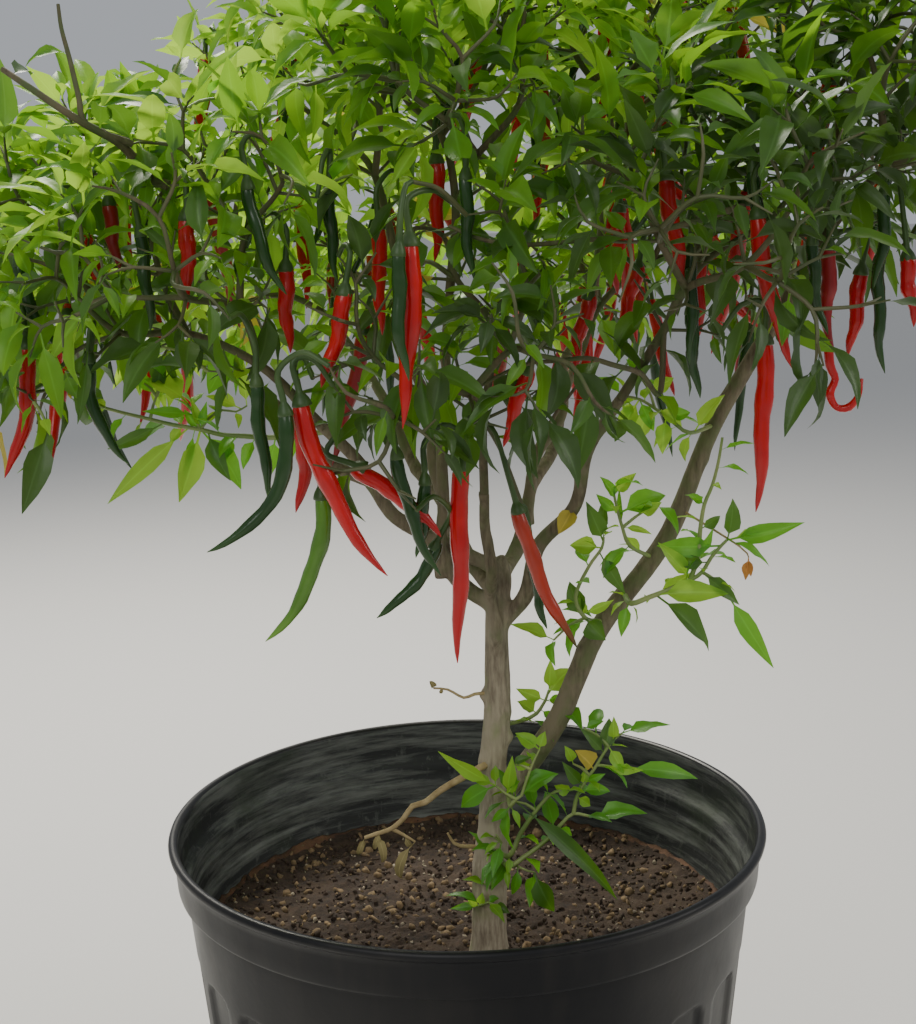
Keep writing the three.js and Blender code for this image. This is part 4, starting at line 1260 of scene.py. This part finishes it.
def stalk_path(node, at, down, stout):
    """A stalk that rises a little from its node, bows over, and ends in a cap on the pod's shoulder."""
    above = at - down * STALK_DROP
    bow = (node + above) / 2 + UP * min(7, 0.3 * np.linalg.norm(above - node))
    path, _ = smooth_path([node, bow, above, at], [1, 1, 1, 1], 3)
    cap = np.array([at + down * s for s in (0.8, 2.0, 3.6, 5.4, 6.6, 7.0)])
    flare = np.array([0.42, 0.62, 0.86, 1.02, 1.06, 0.98]) * stout
    girth = np.concatenate([np.linspace(STALK_RADIUS, STALK_RADIUS * 1.35, len(path)), flare])
    return np.vstack([path, cap]), girth


def pod_finish(name, colour, tip_colour, roughness=0.22):
    material, tree, shader = plain_finish(name, colour, roughness)
    shader.inputs["Specular IOR Level"].default_value = 0.42
    shader.inputs["Coat Weight"].default_value = 0.16
    shader.inputs["Coat Roughness"].default_value = 0.12
    along = node_with(tree, "ShaderNodeAttribute", attribute_name="along")
    body = graded(tree, noise_value(tree, 60, 3), 0.35, 0.75, colour, tuple(0.72 * c for c in colour))
    end_share = graded(tree, along.outputs["Fac"], 0.72, 0.98)
    tree.links.new(blended(tree, end_share, body, tip_colour), shader.inputs["Base Color"])
    relief(tree, shader, noise_value(tree, 120, 3, (1, 1, 0.35)), 0.4, 0.0014)
    return material


# each kind's skin, from unripe to ripe
POD_KINDS = {
    "red": pod_finish("scarlet_skin", (0.56, 0.008, 0.008), (0.44, 0.007, 0.007)),
    "crimson": pod_finish("crimson_skin", (0.34, 0.010, 0.012), (0.22, 0.006, 0.006), 0.3),
    "turning": pod_finish("turning_skin", (0.42, 0.035, 0.012), (0.06, 0.07, 0.012)),
    "dark": pod_finish("dark_green_skin", (0.018, 0.060, 0.010), (0.03, 0.085, 0.014)),
    "green": pod_finish("pale_green_skin", (0.10, 0.24, 0.022), (0.16, 0.34, 0.04)),
}
nodes = [(mass, twig) for mass in masses for twig in every_twig(stems[mass["name"]])]
pod_heaps = {kind: [] for kind in POD_KINDS}
stalks, bearers, shown = [], [], []
for i, (pixel, depth, length, lean, curl, kind) in enumerate(FRONT_PODS):
    at = seen_at(pixel, depth)
    node, away = nearest(crown_ends, at + UP * NODE_RISE)
    if away > STALK_REACH:
        elbow = at + UP * ELBOW_RISE + (node - at) * np.array([0.2, 0.2, 0])
        middle = (node + elbow) / 2 + UP * 4
        bearers.append(smooth_path([node, middle, elbow], [1.2, 1.1, 1.0], 4))
        node = elbow
    path, girth = pod_path(at - UP * CAP_DEPTH, RIGHT, length - CAP_DEPTH, lean, curl)
    if i == SHRIVELLED:
        girth = np.maximum(girth, 2.2)
        tail = [seen_at((column, row), depth) for column, row, depth in SHRIVELLED_TAIL]
        pod_heaps["red"].append(smooth_path([path[-2], *tail], SHRIVELLED_GIRTH, 2))
    pod_heaps[kind].append(wrinkled(path, girth * SLIM[kind], i + 2))
    shown.append(path[SHOWN_FROM::2])
    stalks.append(stalk_path(node, at, unit(path[2] - path[0]), girth.max() * SLIM[kind]))
for mass, twig in nodes:
    seed, index = mass["seed"], twig["index"]
    fine = twig["order"] >= COARSE_ORDERS
    odds = 0.07 if fine else mass["fruit"]
    if chance(seed, index + 0.9) >= odds:
        continue
    heading = 2 * math.pi * chance(seed, index + 0.71)
    out = np.array([math.cos(heading), math.sin(heading), 0.0])
    length = POD_LENGTH * (0.75 + 0.5 * chance(seed, index + 0.77))
    curl = 70 * (chance(seed, index + 0.73) - 0.35)
    at = twig["end"] + out * 14 - UP * 9
    path, girth = pod_path(at, out, length, 12, curl)
    if at[1] < FRONT_EDGE:
        continue
    if not (np.all(path > box_low + 8) and np.all(path < box_high - 8)):
        continue
    ripe = chance(seed, index + 0.83)
    kind = "red" if ripe > 0.55 else "crimson" if ripe > 0.45 else "turning" if ripe > 0.38 else "dark"
    pod_heaps[kind].append(wrinkled(path, girth * SLIM[kind], index))
    stalks.append(stalk_path(twig["end"], at, unit(path[2] - path[0]), girth.max() * SLIM[kind]))
for kind, paths in pod_heaps.items():
    if paths:
        swept_piece(f"{kind}_pods", paths, POD_SIDES, POD_KINDS[kind])
stalk_green = tinted("stalk_green", (0.030, 0.072, 0.013), (0.065, 0.12, 0.026), 90, 0.45)
swept_piece("pod_stalks", stalks, 9, stalk_green)
if bearers:
    swept_piece("pod_twigs", bearers, 6, twig_green)


# Leaves
# Smooth pointed blades on short stalks, widest below the middle, folded a little along the midrib
# and arched down. Their greens carry painted light: deep green as painted shade low down, in front and to the
# right, and bright yellow-green as painted light high up, at the back and to the left; light also comes
# through them.
LEAF_LENGTH = 33
LEAF_WIDTH = 10.2
LEAF_STATIONS = 8
TIP_LEAVES = 5
FORK_LEAVES = 2
LEAF_SPACING = 0.19
FORK_LEAF_BACK = 0.2
STALK_SHARE = 0.17
DROOP = 0.25
# across the blade, in halves of its width
LEAF_ACROSS = np.array([-1, -0.5, 0, 0.5, 1])


def leaf_outline(t):
    """Half width along a leaf, as a share of its greatest: a stalk, then a blade with a long point."""
    blade = np.clip((t - STALK_SHARE) / (1 - STALK_SHARE), 0, 1)
    wide = 1.72 * np.sin(math.pi * blade ** 0.72) ** 0.9 * (1 - 0.42 * blade)
    return np.maximum(wide * 0.72, np.where(t < STALK_SHARE + 0.02, 0.095, 0.02))


def leaf_pick(mass, twig, k, last):
    """Root, direction, face and make of one leaf of a twig."""
    seed, pick = mass["seed"], twig["index"] * 8 + k
    spread = math.radians(38 + 24 * chance(seed, pick + 0.1) if last else 70)
    around = turned(any_side(twig["ahead"]), twig["ahead"], GOLDEN_ANGLE * pick + chance(seed, pick + 0.2))
    ahead = twig["ahead"] * math.cos(spread) + around * math.sin(spread)
    sunward = 0.8 * (twig["end"][2] - 600) / 180
    ahead = unit(ahead + UP * (sunward - DROOP))
    face = squared(UP if abs(ahead[2]) < 0.95 else around, ahead)
    face = turned(face, ahead, (chance(seed, pick + 0.4) - 0.5) * 1.5)
    back = LEAF_SPACING * (k + 0.3) if last else FORK_LEAF_BACK
    root = twig["end"] + (twig["start"] - twig["end"]) * back
    length = LEAF_LENGTH * (0.52 + 0.85 * chance(seed, pick + 0.5) ** 1.4)
    return {
        "root": root, "ahead": ahead, "face": face, "length": length,
        "width": length * LEAF_WIDTH / LEAF_LENGTH * (0.72 + 0.42 * chance(seed, pick + 0.55)),
        "arch": 0.3 + 1.0 * chance(seed, pick + 0.62), "fold": 0.25 + 0.35 * chance(seed, pick + 0.66),
        "twist": 1.4 * (chance(seed, pick + 0.72) - 0.5), "wave": chance(seed, pick + 0.8),
    }


POD_MARGIN = 4.5
pod_points = np.concatenate([path[::2] for paths in pod_heaps.values() for path, _ in paths])


def clear_of_pods(pick):
    """Whether the outer part of a leaf passes every pod at a distance."""
    for share in (0.4, 0.7, 1.0):
        bend = pick["arch"] * share ** 1.3 / 2
        along = pick["ahead"] * math.cos(bend) - pick["face"] * math.sin(bend)
        away = pod_points - (pick["root"] + along * pick["length"] * share)
        if np.min(np.einsum("ij,ij->i", away, away)) < (POD_RADIUS + POD_MARGIN) ** 2:
            return False
    return True


# pods in front and young shoots stand in gaps, so few leaves come between them and where they are seen from
SEEN_FROM = np.round(eye)
SIGHT_MARGIN = 6.5
STRAY_LEAVES = 0.14
shown_away = np.concatenate(shown + trails) - SEEN_FROM


def clear_of_sight(pick, luck):
    """Whether a leaf leaves the pods and shoots in front open to view, which a few don't."""
    if luck < STRAY_LEAVES:
        return True
    for share in (0.35, 0.65, 0.95):
        bend = pick["arch"] * share ** 1.3 / 2
        along = pick["ahead"] * math.cos(bend) - pick["face"] * math.sin(bend)
        sight = pick["root"] + along * pick["length"] * share - SEEN_FROM
        depth = np.linalg.norm(sight)
        reach = shown_away @ (sight / depth)
        off = np.linalg.norm(shown_away - np.outer(reach, sight / depth), axis=1)
        if np.any((reach > depth) & (off < SIGHT_MARGIN)):
            return False
    return True


def leaf_mesh(name, picks):
    """One mesh of all the picked leaves: bent strips with a fold along the midrib, and their own UV map."""
    stack = {key: np.array([p[key] for p in picks], float) for key in picks[0]}
    stations = np.linspace(0, 1, LEAF_STATIONS) ** 0.9
    count, rows, cols = len(picks), LEAF_STATIONS, len(LEAF_ACROSS)
    ahead, face = stack["ahead"], stack["face"]
    side = np.cross(ahead, face)
    points = np.empty((count, rows, cols, 3))
    centre = stack["root"].copy()
    for row, t in enumerate(stations):
        bend = (stack["arch"] * t ** 1.3)[:, None]
        run = ahead * np.cos(bend) - face * np.sin(bend)
        normal = face * np.cos(bend) + ahead * np.sin(bend)
        if row:
            centre = centre + run * (stack["length"] * (t - stations[row - 1]))[:, None]
        lean = (stack["twist"] * t)[:, None]
        edge_dir = side * np.cos(lean) + normal * np.sin(lean)
        rise_dir = normal * np.cos(lean) - side * np.sin(lean)
        half = stack["width"] / 2 * leaf_outline(t)
        for col, u in enumerate(LEAF_ACROSS):
            ripple = 0.16 * u * u * np.sin(2 * math.pi * (2.2 * t + stack["wave"]) + (1.7 if u > 0 else 0))
            lift = half * (abs(u) * stack["fold"] + ripple)
            points[:, row, col] = centre + edge_dir * (half * u)[:, None] + rise_dir * lift[:, None]
    low, high = box_low + 1, box_high - 1
    inside_box = np.all((points > low) & (points < high), axis=(1, 2, 3))
    points = points[inside_box]
    count = len(points)
    grid = np.arange(rows * cols).reshape(rows, cols)
    quad = np.stack([grid[:-1, :-1], grid[:-1, 1:], grid[1:, 1:], grid[1:, :-1]], axis=-1).reshape(-1, 4)
    quads = (np.arange(count)[:, None, None] * rows * cols + quad).reshape(-1, 4)
    mesh = bpy.data.meshes.new(name)
    mesh.vertices.add(count * rows * cols)
    mesh.vertices.foreach_set("co", (points * MM).reshape(-1))
    mesh.loops.add(quads.size)
    mesh.loops.foreach_set("vertex_index", quads.reshape(-1))
    mesh.polygons.add(len(quads))
    mesh.polygons.foreach_set("loop_start", np.arange(0, quads.size, 4))
    columns = (LEAF_ACROSS / 2 + 0.5)[None, :]
    uv = np.stack(np.broadcast_arrays(columns, stations[:, None]), axis=-1).reshape(-1, 2)
    layer = mesh.uv_layers.new(name="blade")
    layer.data.foreach_set("uv", uv[quads % (rows * cols)].reshape(-1))
    mesh.update(calc_edges=True)
    mesh.validate()
    return mesh


def leaf_finish(name, colour, glow, glow_share, roughness=0.4):
    """A leaf: a glossy face over a body that lets some light through, and a paler midrib."""
    material, tree, shader = plain_finish(name, colour, roughness)
    shader.inputs["Specular IOR Level"].default_value = 0.5
    uv = node_with(tree, "ShaderNodeUVMap", uv_map="blade")
    parts = tree.nodes.new("ShaderNodeSeparateXYZ")
    tree.links.new(uv.outputs["UV"], parts.inputs[0])
    centred = node_with(tree, "ShaderNodeMath", {1: 0.5}, operation="SUBTRACT")
    tree.links.new(parts.outputs["X"], centred.inputs[0])
    width = node_with(tree, "ShaderNodeMath", operation="ABSOLUTE")
    tree.links.new(centred.outputs[0], width.inputs[0])
    paler = tuple(min(1.25 * c + 0.015, 1) for c in colour)
    darker = tuple(0.72 * c for c in colour)
    mottled = graded(tree, noise_value(tree, 120, 3), 0.3, 0.7, darker, colour)
    midrib = graded(tree, width.outputs[0], 0.02, 0.06)
    tree.links.new(blended(tree, midrib, paler, mottled), shader.inputs["Base Color"])
    relief(tree, shader, noise_value(tree, 420, 2), 0.25, 0.0006)
    glowing = node_with(tree, "ShaderNodeBsdfTranslucent", {"Color": (*glow, 1)})
    both = node_with(tree, "ShaderNodeMixShader", {"Fac": glow_share})
    output = tree.nodes["Material Output"]
    tree.links.new(shader.outputs[0], both.inputs[1])
    tree.links.new(glowing.outputs[0], both.inputs[2])
    tree.links.new(both.outputs[0], output.inputs["Surface"])
    return material


# deep, mid, light and bright are one leaf green in copies that run from painted shade to painted light; on
# young growth, fresh and bright are also the paler green of young leaves
LEAF_KINDS = {
    "deep": leaf_finish("deep_leaf", (0.038, 0.082, 0.016), (0.16, 0.34, 0.03), 0.24, 0.40),
    "mid": leaf_finish("mid_leaf", (0.052, 0.130, 0.017), (0.23, 0.50, 0.03), 0.3, 0.42),
    "light": leaf_finish("light_leaf", (0.088, 0.25, 0.019), (0.38, 0.72, 0.03), 0.4, 0.42),
    "fresh": leaf_finish("fresh_leaf", (0.085, 0.31, 0.02), (0.34, 0.80, 0.04), 0.4, 0.4),
    "bright": leaf_finish("bright_leaf", (0.20, 0.45, 0.032), (0.60, 0.92, 0.08), 0.44, 0.45),
    "yellow": leaf_finish("yellow_leaf", (0.55, 0.42, 0.05), (0.80, 0.66, 0.10), 0.35, 0.5),
    "spent": leaf_finish("spent_petal", (0.52, 0.22, 0.045), (0.75, 0.36, 0.08), 0.25, 0.7),
    "withered": leaf_finish("withered_leaf", (0.33, 0.27, 0.11), (0.42, 0.34, 0.14), 0.12, 0.8),
}


def spray_kind(mass, twig):
    """The kind of leaf on a spray, as painted light: brighter high up, at the back and to the left, and
    deeper green as painted shade low down, in front and to the right.
    """
    x, y, z = twig["end"]
    luck = chance(mass["seed"], twig["index"] + 0.17)
    west = np.interp(x, (-300, 30, 140, 300), (0.26, 0.19, -0.06, -0.24))
    # painted light and shade: height, depth and side stand in for how the light falls on the crown
    light = 0.45 * (z - 520) / 260 + 0.42 * (y + 150) / 480 + west + 0.5 * (luck - 0.5)
    if luck > 0.992:
        return "yellow"
    return "deep" if light < 0.2 else "mid" if light < 0.4 else "light" if light < 0.6 else "bright"


FRONT = np.array([0.0, -1.0, 0.0])


def placed_leaf(trail, root, tip, width, kind, seed):
    """A leaf of a low shoot from its root to its tip, turned mostly to the front."""
    on_stem, away = nearest(trail, root)
    if away < SHOOT_STALK:
        root = on_stem
    chord = tip - root
    length = np.linalg.norm(chord)
    chord = unit(chord + np.array([0, 0.8 * length * (chance(seed, 0.3) - 0.5), 0]))
    face = turned(squared(UP * 0.5 + FRONT, chord), chord, 1.2 * (chance(seed, 0.6) - 0.5))
    arch = 2.4 if kind == "withered" else 0.25 + 0.9 * chance(seed, 0.9)
    rise = 0.435 * arch
    return {
        "root": root, "ahead": chord * math.cos(rise) + face * math.sin(rise),
        "face": face * math.cos(rise) - chord * math.sin(rise), "length": length * 1.1, "width": width * 1.18,
        "arch": arch, "fold": 0.2 + 0.4 * chance(seed, 1.2), "twist": 1.0 * (chance(seed, 1.5) - 0.5),
        "wave": chance(seed, 1.8),
    }


SIDE_SPREAD = math.radians(62)
YOUNG_STEP = 3
YOUNG_LENGTH = 11
YOUNG_GAIN = 16
LEAF_TURN = 2.4


def leaf_beside(path, i, turn, length, seed):
    """A leaf that leaves a stem at one of its points, turned round it by an angle."""
    along = unit(path[i] - path[i - 1])
    around = turned(any_side(along), along, turn)
    ahead = unit(along * math.cos(SIDE_SPREAD) + around * math.sin(SIDE_SPREAD))
    face = squared(UP if abs(ahead[2]) < 0.95 else around, ahead)
    return {
        "root": path[i], "ahead": ahead, "face": turned(face, ahead, chance(seed, 0.4) - 0.5),
        "length": length, "width": length * (0.28 + 0.12 * chance(seed, 0.1)),
        "arch": 0.4 + 0.8 * chance(seed, 0.2), "fold": 0.35,
        "twist": chance(seed, 0.5) - 0.5, "wave": chance(seed, 0.7),
    }


leaf_heaps = {kind: [] for kind in LEAF_KINDS}
for line, (path, _) in enumerate(tender):
    for i in range(YOUNG_STEP, len(path), YOUNG_STEP):
        luck = chance(line, i)
        length = YOUNG_LENGTH + YOUNG_GAIN * luck
        kind = "fresh" if luck > 0.4 else "bright"
        leaf_heaps[kind].append(leaf_beside(path, i, LEAF_TURN * i, length, i + line))
for (_, spacing, _), (path, _) in zip(FRONT_TWIGS, crossing):
    for i in range(4, len(path), spacing // 3):
        luck = chance(spacing, i)
        kind = "deep" if luck > 0.6 else "mid" if luck > 0.3 else "light"
        leaf_heaps[kind].append(leaf_beside(path, i, LEAF_TURN * i, 20 + 16 * luck, i + spacing))
for mass in masses:
    for twig in every_twig(stems[mass["name"]]):
        last = not twig["arms"]
        kind = spray_kind(mass, twig)
        for k in range(TIP_LEAVES if last else FORK_LEAVES):
            pick = leaf_pick(mass, twig, k, last)
            if clear_of_pods(pick) and clear_of_sight(pick, chance(mass["seed"], twig["index"] + 0.13 * k)):
                leaf_heaps[kind].append(pick)
for (_, depth, _, shoot_leaves), trail in zip(SHOOTS, trails):
    for root_pixel, tip_pixel, width, kind in shoot_leaves:
        root, tip = seen_at(root_pixel, depth), seen_at(tip_pixel, depth)
        seed = root[0] + 7 * root[2] + tip[0]
        leaf_heaps[kind].append(placed_leaf(trail, root, tip, seen_width(width, depth), kind, seed))
for kind, picks in leaf_heaps.items():
    if not picks:
        continue
    leaves = new_piece(f"{kind}_leaves", leaf_mesh(f"{kind}_leaves", picks), LEAF_KINDS[kind])
    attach(leaves, "root")
